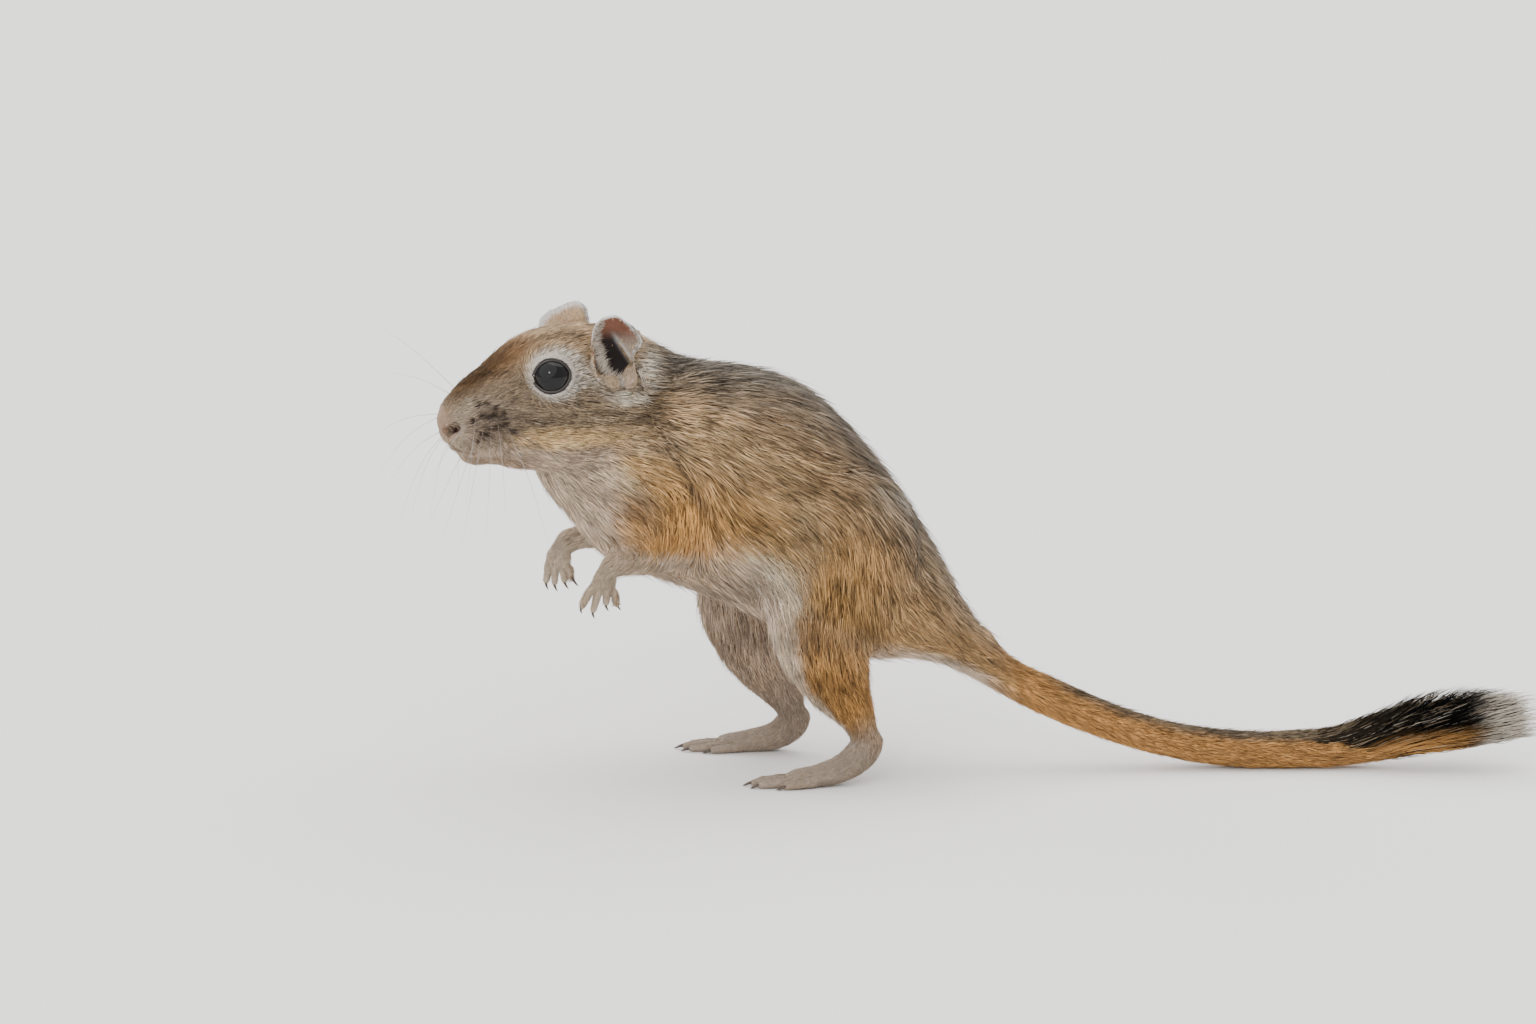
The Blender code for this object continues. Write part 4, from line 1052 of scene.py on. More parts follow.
def skin_colours(coat, normals, colours):
    """The markings with painted shade between deep hairs, and the bare skin of ears, nose and mouth with
    painted shade in their hollows.
    """
    colour, _ = markings(coat, colours)
    # Painted shade: the skin darkens where the coat is deep, as between hairs.
    shade = 1.0 - 0.45 * ramp(coat.depth, 0.2, 1.0)
    colour = colour * shade[:, None]
    for side in SIDE_NAMES:
        local, _, out = read_ear(side, coat.places)
        ear = ear_share(side, coat.places)
        facing = ramp(ear_facing(side, local, normals), 0.0, 0.3)
        facing = facing * (1 - ear_lobed(local)) * ramp(out, 1.04, 0.98)
        flap, ridge = ear_fold(local[:, 0], local[:, 1])
        # Painted shade: deep in each ear's hollow the skin turns near black.
        hollow = ramp(local[:, 2], -0.5, -2.0) * (out < 0.96) * ramp(local[:, 1], 10.5, 7.2)
        edge = np.maximum(0.6 * facing * ridge, ramp(out, 0.88, 0.95) * ear_edge(local))
        lobe = ramp(local[:, 1], 3.0, 2.0) * ramp(local[:, 2], -1.6, -0.6) * ramp(local[:, 0], 0.4, -0.6)
        colour = mixed(colour, colours.ear_skin, ear * facing)
        colour = mixed(colour, colours.ear_hollow_shade, ear * facing * hollow)
        colour = mixed(colour, colours.ear_flap, ear * facing * flap)
        colour = mixed(colour, colours.ear_rim, ear * edge)
        colour = mixed(colour, colours.ear_lobe, ear * 0.8 * lobe)
        # Painted shade: each nostril's opening is darkened to near black.
        gap = distance_to_path(coat.places, nostril_path(side)) / MM
        colour = mixed(colour, colours.nostril, 0.45 * ramp(gap, 1.7, 0.9) + 0.55 * ramp(gap, 0.95, 0.5))
    # Painted shade along the crease of the mouth's line.
    gap = distance_to_path(coat.places, mouth_path()) / MM
    colour = mixed(colour, colours.mouth, 0.7 * ramp(gap, 0.5, 0.15))
    head = to_local(HEAD_FRAME, coat.places)
    tip = ramp(head[:, 0], -35.4, -36.8) * ramp(gap, 0.8, 1.6)
    return mixed(colour, colours.nose, 0.6 * tip * (1 - ramp(colour[:, 0], 0.12, 0.06)))


class Template:
    """One tuft, drawn with bmesh and then copied in arrays: its rings, faces and the net for its patch."""

    def __init__(self, heights):
        bm = bmesh.new()
        bmesh.ops.create_cone(bm, cap_ends=True, segments=3, radius1=1.0, radius2=0.0, depth=1.0)
        bmesh.ops.translate(bm, verts=bm.verts, vec=(0, 0, 0.5))
        for height in heights[1:-1]:
            geometry = bm.verts[:] + bm.edges[:] + bm.faces[:]
            bmesh.ops.bisect_plane(bm, geom=geometry, plane_co=(0, 0, height), plane_no=(0, 0, 1))
        bmesh.ops.remove_doubles(bm, verts=bm.verts, dist=1e-5)
        bmesh.ops.triangulate(bm, faces=bm.faces)
        bm.verts.index_update()
        self.heights = np.array(heights)
        self.ring = np.array([np.abs(self.heights - vert.co.z).argmin() for vert in bm.verts])
        turns = np.array([math.atan2(vert.co.y, vert.co.x) for vert in bm.verts])
        self.turn = np.column_stack((np.cos(turns), np.sin(turns)))
        self.turn[self.ring == len(heights) - 1] = 0.0
        self.faces = np.array([[vert.index for vert in face.verts] for face in bm.faces])
        self.net = np.array([self.flat_corners(face, turns) for face in bm.faces])
        bm.free()

    def flat_corners(self, face, turns):
        """Where a face's corners lie in the tuft's square patch, from -0.5 to 0.5."""
        if all(vert.co.z < 1e-6 for vert in face.verts):
            return [(0.1 * vert.co.x, -0.42 + 0.06 * vert.co.y) for vert in face.verts]
        centre = face.calc_center_median()
        middle = math.atan2(centre.y, centre.x)
        corners = []
        for vert in face.verts:
            swing = (turns[vert.index] - middle + math.pi) % (2 * math.pi) - math.pi
            if vert.co.z > 1 - 1e-6:
                swing = 0.0
            corners.append(((middle + swing) / (2 * math.pi) * 0.8, vert.co.z * 0.8 - 0.3))
        return corners


def tuft_mesh(name, heights, path, lifts, widths, flat, colours, spots):
    """Closed tufts along their paths (tufts x rings x 3) as one mesh, thinner in the way of their lifts."""
    template = Template(heights)
    along = unit(np.gradient(path, axis=1))
    across = unit(np.cross(along, lifts))
    lifts = unit(np.cross(across, along))
    side = across[:, template.ring] * template.turn[None, :, :1]
    rise = lifts[:, template.ring] * template.turn[None, :, 1:] * flat
    places = path[:, template.ring] + (side + rise) * (widths[:, template.ring, None] / 2)
    count = len(path)
    points = len(template.ring)
    faces = (template.faces[None] + (np.arange(count) * points)[:, None, None]).reshape(-1, 3)
    mesh = bpy.data.meshes.new(name)
    mesh.vertices.add(count * points)
    mesh.vertices.foreach_set("co", places.astype(np.float32).ravel())
    mesh.loops.add(faces.size)
    mesh.loops.foreach_set("vertex_index", faces.astype(np.int32).ravel())
    mesh.polygons.add(len(faces))
    mesh.polygons.foreach_set("loop_start", np.arange(0, faces.size, 3, dtype=np.int32))
    mesh.update(calc_edges=True)
    mesh.shade_smooth()
    paint_points(mesh, colours[:, template.ring].reshape(-1, 3))
    uv = mesh.uv_layers.new(name=BAKE_MAP)
    middles = UNWRAP_MARGIN + np.clip(spots, 0, 1) * (1 - 2 * UNWRAP_MARGIN)
    corners = middles[:, None, None] + template.net[None] * PATCH
    uv.data.foreach_set("uv", corners.astype(np.float32).ravel())
    return new_object(mesh, name)


def triangles_of(mesh):
    """A mesh's triangles as an array of point numbers."""
    mesh.calc_loop_triangles()
    faces = np.empty(len(mesh.loop_triangles) * 3, np.int32)
    mesh.loop_triangles.foreach_get("vertices", faces)
    return faces.reshape(-1, 3)


def strewn_roots(draw, places, normals, faces, crowd, count):
    """Roots strewn over the skin, more where the coat is crowded: their places and normals."""
    corners = places[faces]
    area = np.linalg.norm(np.cross(corners[:, 1] - corners[:, 0], corners[:, 2] - corners[:, 0]), axis=1)
    share = np.cumsum(area * crowd[faces].mean(axis=1))
    spots = (np.arange(count) + draw.random(count)) / count * share[-1]
    chosen = np.minimum(np.searchsorted(share, spots), len(faces) - 1)
    a, b = draw.random((2, count))
    over = a + b > 1
    a[over] = 1 - a[over]
    b[over] = 1 - b[over]
    weights = np.stack((1 - a - b, a, b), axis=1)[:, :, None]
    return (corners[chosen] * weights).sum(axis=1), unit((normals[faces[chosen]] * weights).sum(axis=1))


def on_skin(tree, places, reach):
    """The nearest points of the skin to places, and the normals there."""
    found = np.array(places)
    normals = np.zeros_like(places)
    for i, place in enumerate(places):
        near, normal, _, _ = tree.find_nearest(place, reach)
        if near is not None:
            found[i] = near
            normals[i] = normal
    return found, normals


def eye_openings():
    """Where each eye's middle is, and its gaze, in metres."""
    turn = np.array(HEAD_FRAME)[:3, :3]
    for side in SIDE_NAMES:
        centre = moved(HEAD_FRAME, [sided(EYE_CENTRE, side)])[0]
        yield side, centre, unit(turn @ np.array(sided(EYE_GAZE, side)))


def round_eye(way, away, share):
    """Turns ways that would run into the eye aside and up, and all of them a little outward."""
    inward = np.minimum((way * away).sum(axis=1), 0.0)
    way = way + (share * (0.35 - 1.1 * inward))[:, None] * away
    way[:, 2] -= 0.5 * share * inward
    return way


def lie_of(coat, normals):
    """The way that the coat lies at each root: along the lines, round the eyes, flat to the skin."""
    way = unit(coat.way)
    for _, centre, _ in eye_openings():
        away = coat.places - centre
        gap = np.linalg.norm(away, axis=1) / MM
        way = round_eye(way, unit(away), ramp(gap, 8.5, 4.5))
    head = to_local(HEAD_FRAME, coat.places)
    lip = ramp(head[:, 0], -24.0, -29.0) * ramp(head[:, 2], -1.5, -4.0)
    way = way + np.array((0.25, 0.0, -1.2)) * lip[:, None]
    flat = way - normals * (way * normals).sum(axis=1, keepdims=True)
    return unit(flat)


def clumped(draw, roots, tips, mids, strength, share):
    """Draws tufts together towards one tuft in each clump, and tells which tuft leads each."""
    count = len(roots)
    leads = np.sort(draw.choice(count, max(2, int(count * share)), replace=False))
    tree = KDTree(len(leads))
    for i, lead in enumerate(leads):
        tree.insert(roots[lead], i)
    tree.balance()
    near = np.array([leads[tree.find(root)[1]] for root in roots])
    pull = (strength * draw.uniform(0.5, 1.0, count))[:, None]
    offset = mids[near] - roots[near] - (mids - roots)
    mids = mids + (0.35 * (roots[near] - roots) + 0.35 * offset) * pull
    offset = tips[near] - roots[near] - (tips - roots)
    tips = tips + (0.75 * (roots[near] - roots) + 0.5 * offset) * pull
    return tips, mids, near


# The coat's unwrap: its margin and the size of one tuft's patch.
UNWRAP_MARGIN = 0.01
PATCH = 0.003


def unwrapped(coat, piece_lines):
    """Each root's place on an unwrap: how far along its line and how far round it, one band a line."""
    places = np.zeros((len(coat.places), 2))
    for band, name in enumerate(piece_lines):
        chosen = coat.owner == coat.names.index(name)
        offset = coat.offsets[name][chosen]
        turn = np.arctan2(offset[:, 1], offset[:, 2]) / (2 * math.pi) + 0.5
        places[chosen, 0] = coat.along[name][chosen]
        places[chosen, 1] = (band + turn) / len(piece_lines)
    return places


def streaks(coat, long, wide, seed):
    """A smooth noise drawn out along the lie, about -1 to 1, so that neighbouring hairs share a tone."""
    value = np.zeros(len(coat.places))
    for number, name in enumerate(coat.names):
        chosen = np.flatnonzero(coat.owner == number)
        offset = coat.offsets[name][chosen]
        around = np.arctan2(offset[:, 1], offset[:, 2]) * coat.girths[name] / wide
        along = coat.along[name][chosen] * coat.reaches[name] / long
        value[chosen] = [noise.noise(Vector((a, b, seed))) for a, b in zip(along, around)]
    return np.clip(2.4 * value, -1, 1)


# Shares of a tuft's own tone: at its root, at its end and at the end of a ticked one.
ROOT_TONE = 0.7
END_TONE = 1.12
TICK_TONE = 0.14


def hair_colours(draw, coat, colours, rings, leads):
    """Each tuft's colour at its rings: a dull root, the marking's colour, and a dark tip on ticked ones."""
    colour, ticking = markings(coat, colours)
    count = len(colour)
    long = ramp(coat.depth, 0.15, 1.0)[:, None]
    tone = draw.normal(0.0, 1.0, (count, 1)) * (0.15 + 0.13 * long)
    tone = tone + draw.normal(0.0, 1.0, (count, 1))[leads] * (0.05 + 0.15 * long)
    tone = tone + streaks(coat, 7.0, 2.0, 0.5)[:, None] * (0.06 + 0.22 * long)
    warm = draw.normal(0.0, 1.0, (count, 1)) * np.array((0.03, 0.0, -0.05))
    base = np.clip(colour * np.exp(np.clip(tone, -0.75, 0.5) + warm), 0.004, 1.0)
    ticked = draw.random(count) < ticking * (1.0 + 1.2 * streaks(coat, 6.0, 0.9, 7.5))
    painted = np.repeat(base[:, None, :], rings, axis=1)
    painted[:, 0] *= ROOT_TONE
    painted[:, -1] = np.clip(painted[:, -1] * END_TONE, 0, 1)
    painted[ticked, -1] *= TICK_TONE
    painted[ticked, -2] *= draw.uniform(0.2, 0.65, ticked.sum())[:, None]
    return painted


COAT_PIECES = {
    "coat_head_left": ("head", "ear_left"), "coat_head_right": ("head", "ear_right"),
    "coat_neck": ("trunk",), "coat_back_left": ("trunk",), "coat_back_right": ("trunk",),
    "coat_belly": ("trunk",), "coat_tail": ("trunk",), "coat_hindleg_left": ("hind_left",),
    "coat_hindleg_right": ("hind_right",), "coat_foreleg_left": ("fore_left",),
    "coat_foreleg_right": ("fore_right",),
}
TAIL_START = 36.0
NECK_END = 0.085  # share of the trunk's line
GUARD_SHARE = 0.07  # tufts that stand out a little from the rest


def piece_masks(coat):
    """Which piece of the coat each root belongs to."""
    owner = np.array(coat.names)[coat.owner]
    local = to_local(SHIFT, coat.places)
    head = to_local(HEAD_FRAME, coat.places)
    trunk = owner == "trunk"
    tail = trunk & (local[:, 0] > TAIL_START)
    neck = trunk & ~tail & (coat.along["trunk"] < NECK_END)
    belly = trunk & ~tail & ~neck & (trunk_level(coat.places) < 0)
    back = trunk & ~tail & ~neck & ~belly
    masks = {}
    for name, lines in COAT_PIECES.items():
        mask = np.isin(owner, lines)
        if "head" in name:
            mask &= (head[:, 1] < 0) == name.endswith("left")
        if lines == ("trunk",):
            mask = {"tail": tail, "neck": neck, "belly": belly, "back": back}[name.split("_")[1]].copy()
        if "back" in name:
            mask &= (local[:, 1] < 0) == name.endswith("left")
        masks[name] = mask
    return masks


# How the tufts lie: spread of their turn, extra length and height of the ones that stand out, how strongly
# the rest are drawn together and how many lead a clump, how deep roots sit and how low hair may hang.
LIE_SPREAD = 0.13
GUARD_LENGTH = 1.2
GUARD_RISE = 0.12
CLUMP_PULL = 0.4
CLUMP_LEADS = 0.12
ROOT_DEPTH = 0.12
LOWEST = 0.15
TUFT_RINGS = (0.0, 0.5, 1.0)
SEEDS = {"coat": 11, "brush": 23, "ear_fringe": 31, "lid_hair": 37, "lip_fringe": 41}


def comb_coat(skin, count, length_scale, width_scale, colours):
    """Strews tufts over the skin, lays them along it and makes one mesh for each part of the body."""
    draw = np.random.default_rng(SEEDS["coat"])
    places, normals = read_mesh(skin.data)
    lines = body_lines()
    faces = triangles_of(skin.data)
    crowd = Coat(places, lines).crowd * hair_share(places, normals) * (1 + 0.9 * by_ears(places))
    roots, normals = strewn_roots(draw, places, normals, faces, crowd, count)
    coat = Coat(roots, lines)
    tree = BVHTree.FromPolygons(places.tolist(), faces.tolist())
    lie = lie_of(coat, normals)
    across = np.cross(lie, normals)
    lie = unit(lie + across * draw.normal(0.0, LIE_SPREAD, (count, 1)))
    guard = draw.random(count) < GUARD_SHARE
    gap = np.min([np.linalg.norm(roots - centre, axis=1) for _, centre, _ in eye_openings()], axis=0)
    by_eye = 0.42 + 0.58 * ramp(gap, 4.2 * MM, 8.0 * MM) - 0.16 * ramp(gap, 5.0 * MM, 4.0 * MM)
    length = by_eye * coat.length * length_scale * MM * draw.uniform(0.75, 1.15, count)
    length = length * np.where(guard, GUARD_LENGTH, 1.0)
    height = coat.depth * MM * draw.uniform(0.65, 1.1, count) + np.where(guard, GUARD_RISE * length, 0.0)
    folded = np.maximum(ramp(crease_gap(roots), 2.2, 0.6), by_ears(roots))
    length = length * (1 - 0.45 * folded)
    height = height * (1 - 0.6 * folded)
    mids, mid_normals = on_skin(tree, roots + lie * (0.5 * length)[:, None], 0.01)
    tips, tip_normals = on_skin(tree, roots + lie * length[:, None], 0.01)
    mids = mids + mid_normals * (0.62 * height)[:, None]
    tips = tips + tip_normals * height[:, None]
    strays = strays_into_ear(roots, tips)
    mids[strays] = roots[strays] + 0.4 * (mids - roots)[strays]
    tips[strays] = roots[strays] + 0.4 * (tips - roots)[strays]
    tips, mids, leads = clumped(draw, roots, tips, mids, np.where(guard, 0.1, CLUMP_PULL), CLUMP_LEADS)
    path = np.stack((roots - normals * (ROOT_DEPTH * MM), mids, tips), axis=1)
    path[:, :, 2] = np.maximum(path[:, :, 2], LOWEST * MM)
    lifts = np.stack((normals, unit(mid_normals + 1e-9), unit(tip_normals + 1e-9)), axis=1)
    thick = coat.width * MM * width_scale * draw.uniform(0.75, 1.25, count) * np.where(guard, 0.7, 1.0)
    widths = np.stack((0.7 * thick, thick, 0 * thick), axis=1)
    painted = hair_colours(draw, coat, colours, len(TUFT_RINGS), leads)
    made = []
    for name, mask in piece_masks(coat).items():
        spots = unwrapped(coat, COAT_PIECES[name])[mask]
        tufts = path[mask], lifts[mask], widths[mask], 0.55, painted[mask], spots
        made.append(tuft_mesh(name, TUFT_RINGS, *tufts))
    return made


def by_ears(places):
    """1 on the head right by an ear's edge, 0 from 3 mm off."""
    share = np.zeros(len(places))
    for side in SIDE_NAMES:
        local, turn, out = read_ear(side, places)
        beyond = (out - 1) * ear_reach(side, turn)
        near = ramp(beyond, 3.0, 0.6) * ramp(np.abs(local[:, 2]), 5.0, 3.5) * (beyond > 0)
        share = np.maximum(share, near)
    return share


def strays_into_ear(roots, tips):
    """Which tufts start outside an ear's cup and would end in its hollow."""
    stray = np.zeros(len(roots), bool)
    for side in SIDE_NAMES:
        local, _, out = read_ear(side, tips)
        _, _, root_out = read_ear(side, roots)
        ended = (out < 0.97) & (local[:, 2] > -4.5) & (local[:, 2] < 1.6) & (local[:, 1] > 1.0)
        stray |= ended & (root_out > 1.0)
        stray |= ended & (local[:, 2] < -0.8) & (np.linalg.norm(tips - roots, axis=1) > 1.4 * MM)
    return stray


# The bare opening round an eye: distance from its middle in mm, and the gaze's share.
EYE_BARE = 3.95
EYE_BARE_AHEAD = 0.16


def hair_share(places, normals):
    """How much coat each place keeps: none in the eye sockets, the ears' hollows and on the nose's tip."""
    share = np.ones(len(places))
    for _, centre, gaze in eye_openings():
        away = places - centre
        gap = np.linalg.norm(away, axis=1)
        share[(gap < EYE_BARE * MM) & (away @ gaze > EYE_BARE_AHEAD * gap)] = 0.0
    head = to_local(HEAD_FRAME, places)
    share *= ramp(head[:, 0], -37.6, -36.6)
    for side in SIDE_NAMES:
        share *= ramp(distance_to_path(places, nostril_path(side)), 0.7 * MM, 1.1 * MM)
        local, _, out = read_ear(side, places)
        inner = ear_share(side, places) * ramp(ear_facing(side, local, normals), 0.0, 0.3) * (out < 0.96)
        inner = inner * (0.8 + 0.2 * ramp(local[:, 2], -0.3, -1.0))
        share *= 1 - inner * (1 - 0.8 * ear_lobed(local))
    return share


# The brush: its tufts' rings, and where along the tail it starts, is full and how far its roots reach.
BRUSH_RINGS = (0.0, 0.35, 0.7, 1.0)
BRUSH_START = 84.0
BRUSH_FULL = 106.0
BRUSH_SPAN = 38.0


def make_brush(count, colours):
    """The brush on the tail's end: a dark crest that grows into long hair, pale at the very tips."""
    draw = np.random.default_rng(SEEDS["brush"])
    rings = len(BRUSH_RINGS)
    x = BRUSH_START + BRUSH_SPAN * draw.random(count) ** 0.62
    angle = draw.uniform(-math.pi, math.pi, count)
    crest = x < BRUSH_FULL
    spread = np.interp(x, (BRUSH_START, 96.0, BRUSH_FULL), (0.45, 1.1, 2.2))
    angle[crest] = math.pi / 2 + draw.uniform(-1.0, 1.0, crest.sum()) * spread[crest]
    length = np.interp(x, (BRUSH_START, 100.0, 112.0), (4.5, 9.5, 12.0))
    length = length * draw.normal(0.92, 0.16, count).clip(0.5, 1.35)
    reach = draw.uniform(0.1, 1.0, count) ** 0.6
    core = np.array(TAIL_CORE)
    outline = np.array(BRUSH)
    path = np.zeros((count, rings, 3))
    for ring, share in enumerate(BRUSH_RINGS):
        ahead = x + share * length
        core_z, core_r = (np.interp(ahead, core[:, 0], core[:, i]) for i in (1, 2))
        out_z, tall, wide = (np.interp(ahead, outline[:, 0], outline[:, i]) for i in (1, 2, 3))
        out = reach * (1 - (1 - share) ** 1.6)
        rise = (0.9 * core_r * (1 - out) + tall * out) * np.sin(angle)
        width = (0.9 * core_r * (1 - out) + wide * out) * np.cos(angle)
        height = np.maximum(core_z * (1 - out) + out_z * out + rise, 0.35)
        path[:, ring] = np.column_stack((ahead, width, height))
    path[:, 1:] += draw.normal(0, 0.22, (count, rings - 1, 3)) * np.array(BRUSH_RINGS[1:])[None, :, None]
    path[:, :, 2] = np.maximum(path[:, :, 2], 0.3)
    path = moved(SHIFT, path.reshape(-1, 3)).reshape(path.shape)
    outward = np.column_stack((np.zeros(count), np.cos(angle), np.sin(angle)))
    lifts = np.repeat(outward[:, None], rings, axis=1)
    thick = 0.20 * MM * draw.uniform(0.7, 1.3, count)
    widths = np.stack([thick * share for share in (0.8, 1.0, 0.7, 0.0)], axis=1)
    tone = draw.normal(0, 1, (count, 1))
    deep = ramp(x + 5 * tone[:, 0], BRUSH_START, BRUSH_FULL)
    dark = mixed(0.3 * np.array([colours.tail_line]), colours.brush, deep)
    dark = dark * (1 + 0.35 * tone)
    tan = np.array(colours.tail) * (1 + 0.15 * tone)
    low = ramp(np.sin(angle), 0.15, -0.5) * ramp(x, 119.0, 107.0) * (draw.random(count) < 0.85)
    top = 1.0 * (draw.random(count) > ramp(x, 80.0, 100.0) * 0.93)
    base = mixed(dark, colours.tail_line, top)
    base = base + (tan - base) * low[:, None]
    painted = np.repeat(base[:, None], rings, axis=1)
    pale = ramp(x + length, 124.5, 129.5) * (draw.random(count) < 0.8)
    pale = np.maximum(pale, 0.6 * (draw.random(count) < 0.03))
    painted[:, 3] = mixed(painted[:, 3], colours.brush_tip, pale)
    painted[:, 2] = mixed(painted[:, 2], colours.brush_tip, 0.7 * pale)
    painted = np.clip(painted, 0.002, 1)
    spots = np.column_stack(((x - BRUSH_START) / 40.0, angle / (2 * math.pi) % 1.0))
    return tuft_mesh("coat_brush", BRUSH_RINGS, path, lifts, widths, 0.6, painted, spots)


def ear_fringe(count, colours):
    """Pale hairs on each ear's front edge and foot that reach back over its opening."""
    draw = np.random.default_rng(SEEDS["ear_fringe"])
    sets = []
    for side in SIDE_NAMES:
        turn = math.radians(-95) + math.radians(160) * draw.random(count) ** 1.25
        out = draw.uniform(0.80, 0.99, count)
        reach = out * ear_reach(side, turn)
        across = EAR_MIDDLE[0] + reach * np.cos(turn)
        up = EAR_MIDDLE[1] + reach * np.sin(turn)
        deep, curl = ear_height(across, up, turn, out)
        lowest = np.where(turn < -0.4, -0.3, -9.0)
        roots = np.column_stack((across, up, np.maximum(deep + curl + 0.4, lowest)))
        rise = draw.normal(0.3, 0.3, count) - 0.8 * np.sin(turn) * (turn < 0)
        way = unit(np.column_stack((-np.ones(count), rise, draw.normal(0.4, 0.2, count))))
        long = np.interp(turn, (-1.6, -0.3, 0.4, 1.2), (2.6, 2.4, 1.7, 0.8)) * draw.uniform(0.6, 1.1, count)
        turned = np.array(ear_frame(side))[:3, :3]
        tone = 1 + 0.14 * draw.normal(0, 1, (count, 1))
        spot = np.column_stack((turn / 3.4 + 0.5, 0.25 + 0.5 * (side == RIGHT) + (out - 0.9)))
        sets.append((
            moved(ear_frame(side), roots), way * long[:, None] @ turned.T * MM,
            np.tile(turned[:, 2], (count, 1)), 0.085 * MM * draw.uniform(0.7, 1.3, count),
            np.array(colours.ear_fringe)[None] * tone, spot,
        ))
    return strands("ear_fringe", sets, 0.2 * MM)


WHISKER_RADIUS = 0.075  # at the root
WHISKER_SIDES = 6


def make_whiskers(name, dark, root_colour, colour):
    """The long whiskers on both sides, thick at their spots and fine at their ends."""
    forms = []
    for side in SIDE_NAMES:
        for number, tip, is_dark in WHISKERS[side]:
            if is_dark != dark:
                continue
            root = np.array(sided(WHISKER_SPOTS[number], side))
            tip = np.array(sided(tip, side))
            out = unit(np.array((-0.2, 0.9 * side, 0.1)))
            length = np.linalg.norm(tip - root)
            middle = (root + tip) / 2 + out * 0.10 * length + np.array((0.0, 0.0, 0.06 * length))
            points = smooth_line([root - out * 0.6, root + out * 0.4, middle, tip], 6)
            radii = WHISKER_RADIUS * np.linspace(1.0, 0.15, len(points)) * MM
            forms.append(tube(moved(HEAD_FRAME, points), radii, sides=WHISKER_SIDES))
    whiskers = object_from(join(bmesh.new(), forms), name)
    rings = np.arange(len(whiskers.data.vertices)) // WHISKER_SIDES % len(points)
    paint_points(whiskers.data, mixed(np.array([root_colour]), colour, ramp(rings, 7.0, 11.0)))
    return whiskers


def make_claws(name, toes):
    """Curved tapering claws, on the toes or on the fingers."""
    forms = []
    length = (TOE_CLAW if toes else FINGER_CLAW) * MM
    bend = np.array((-0.1, 0.0, -0.3) if toes else (0.42, 0.0, -0.1))
    rise = np.array((0.0, 0.0, 0.12) if toes else (-0.10, 0.0, 0.0))
    steps = np.linspace(0.0, 1.0, 9)
    radii = np.interp(steps, (0.0, 0.3, 0.75, 1.0), (0.36, 0.36, 0.22, 0.04)) * MM
    for side in SIDE_NAMES:
        for path in toe_paths(side) if toes else finger_paths(side):
            way = unit(path[-1] - path[-2])
            start = path[-1] + rise * MM
            points = [start + way * length * t + bend * length * t * t for t in steps]
            points = np.maximum(points, [[-9, -9, 0.22 * MM]])
            forms.append(tube(points, radii * (1.15 if toes else 1.0), 10, 0.75, (0.0, 1.0, 0.0)))
    return object_from(join(bmesh.new(), forms), name)


def lip_fringe(skin, count, colours):
    """Short pale hair along each upper lip that hangs over the mouth's line."""
    draw = np.random.default_rng(SEEDS["lip_fringe"])
    places, _ = read_mesh(skin.data)
    tree = BVHTree.FromPolygons(places.tolist(), triangles_of(skin.data).tolist())
    sets = []
    for side in SIDE_NAMES:
        line = smooth_line([sided(point, side) for point in MOUTH], 6)
        share = draw.random(count)
        steps = np.arange(len(line))
        points = np.column_stack([np.interp(share * steps[-1], steps, line[:, i]) for i in range(3)])
        points[:, 2] += draw.uniform(0.2, 2.4, count)
        roots, normals = on_skin(tree, moved(HEAD_FRAME, points), 0.01)
        back = 0.4 + draw.normal(0, 0.2, count)
        way = unit(np.column_stack((back, np.full(count, 0.15 * side), -np.ones(count))))
        long = draw.uniform(1.1, 2.1, count)
        tone = 1 + 0.12 * draw.normal(0, 1, (count, 1))
        painted = mixed(np.array([colours.muzzle]), colours.throat, np.clip(0.2 + share, 0, 1)) * tone
        spot = np.column_stack((0.05 + 0.2 * share, np.full(count, 0.25 + 0.5 * (side == RIGHT))))
        sets.append((
            roots - normals * 0.05 * MM, way @ np.array(HEAD_FRAME)[:3, :3].T * (long * MM)[:, None], normals,
            0.085 * MM * draw.uniform(0.7, 1.3, count), painted, spot,
        ))
    return strands("lip_fringe", sets, 0.25 * MM)


# Rings round each eye: middle distance, thickness, the ball they lie on and their height's share.
LID_RIM = (3.08, 0.30, 3.52, 0.90)
LID = (3.74, 0.40, 3.72, 0.93)
LID_SIDES = 14
LID_STEPS = 80


def make_lids(name, ring):
    """A ring round both eyes, spun round each and bent over the eyeball, with a pointed front corner."""
    middle, thickness, ball, squeeze = ring
    forms = []
    for side, centre, gaze in eye_openings():
        bm = bmesh.new()
        bmesh.ops.create_circle(bm, segments=LID_SIDES, radius=thickness)
        bmesh.ops.rotate(bm, verts=bm.verts, cent=(0, 0, 0), matrix=Matrix.Rotation(math.pi / 2, 3, "X"))
        bmesh.ops.translate(bm, verts=bm.verts, vec=(middle, 0, 0))
        bmesh.ops.spin(
            bm, geom=bm.verts[:] + bm.edges[:], cent=(0, 0, 0), axis=(0, 0, 1), angle=2 * math.pi,
            steps=LID_STEPS, use_merge=True,
        )
        for vert in bm.verts:
            turn = math.atan2(vert.co.y, vert.co.x)
            stretch = Vector((eye_stretch(turn), eye_stretch(turn) * squeeze, 1.0))
            out = math.hypot(middle * math.cos(turn) * stretch.x, middle * math.sin(turn) * stretch.y)
            lift = math.sqrt(max(ball**2 - out**2, 0.4))
            vert.co = Vector((vert.co.x * stretch.x, vert.co.y * stretch.y, vert.co.z + lift)) * MM
        bmesh.ops.transform(bm, matrix=eye_matrix(side, centre, gaze), verts=bm.verts)
        bmesh.ops.recalc_face_normals(bm, faces=bm.faces)
        forms.append(bm)
    return object_from(join(bmesh.new(), forms), name)


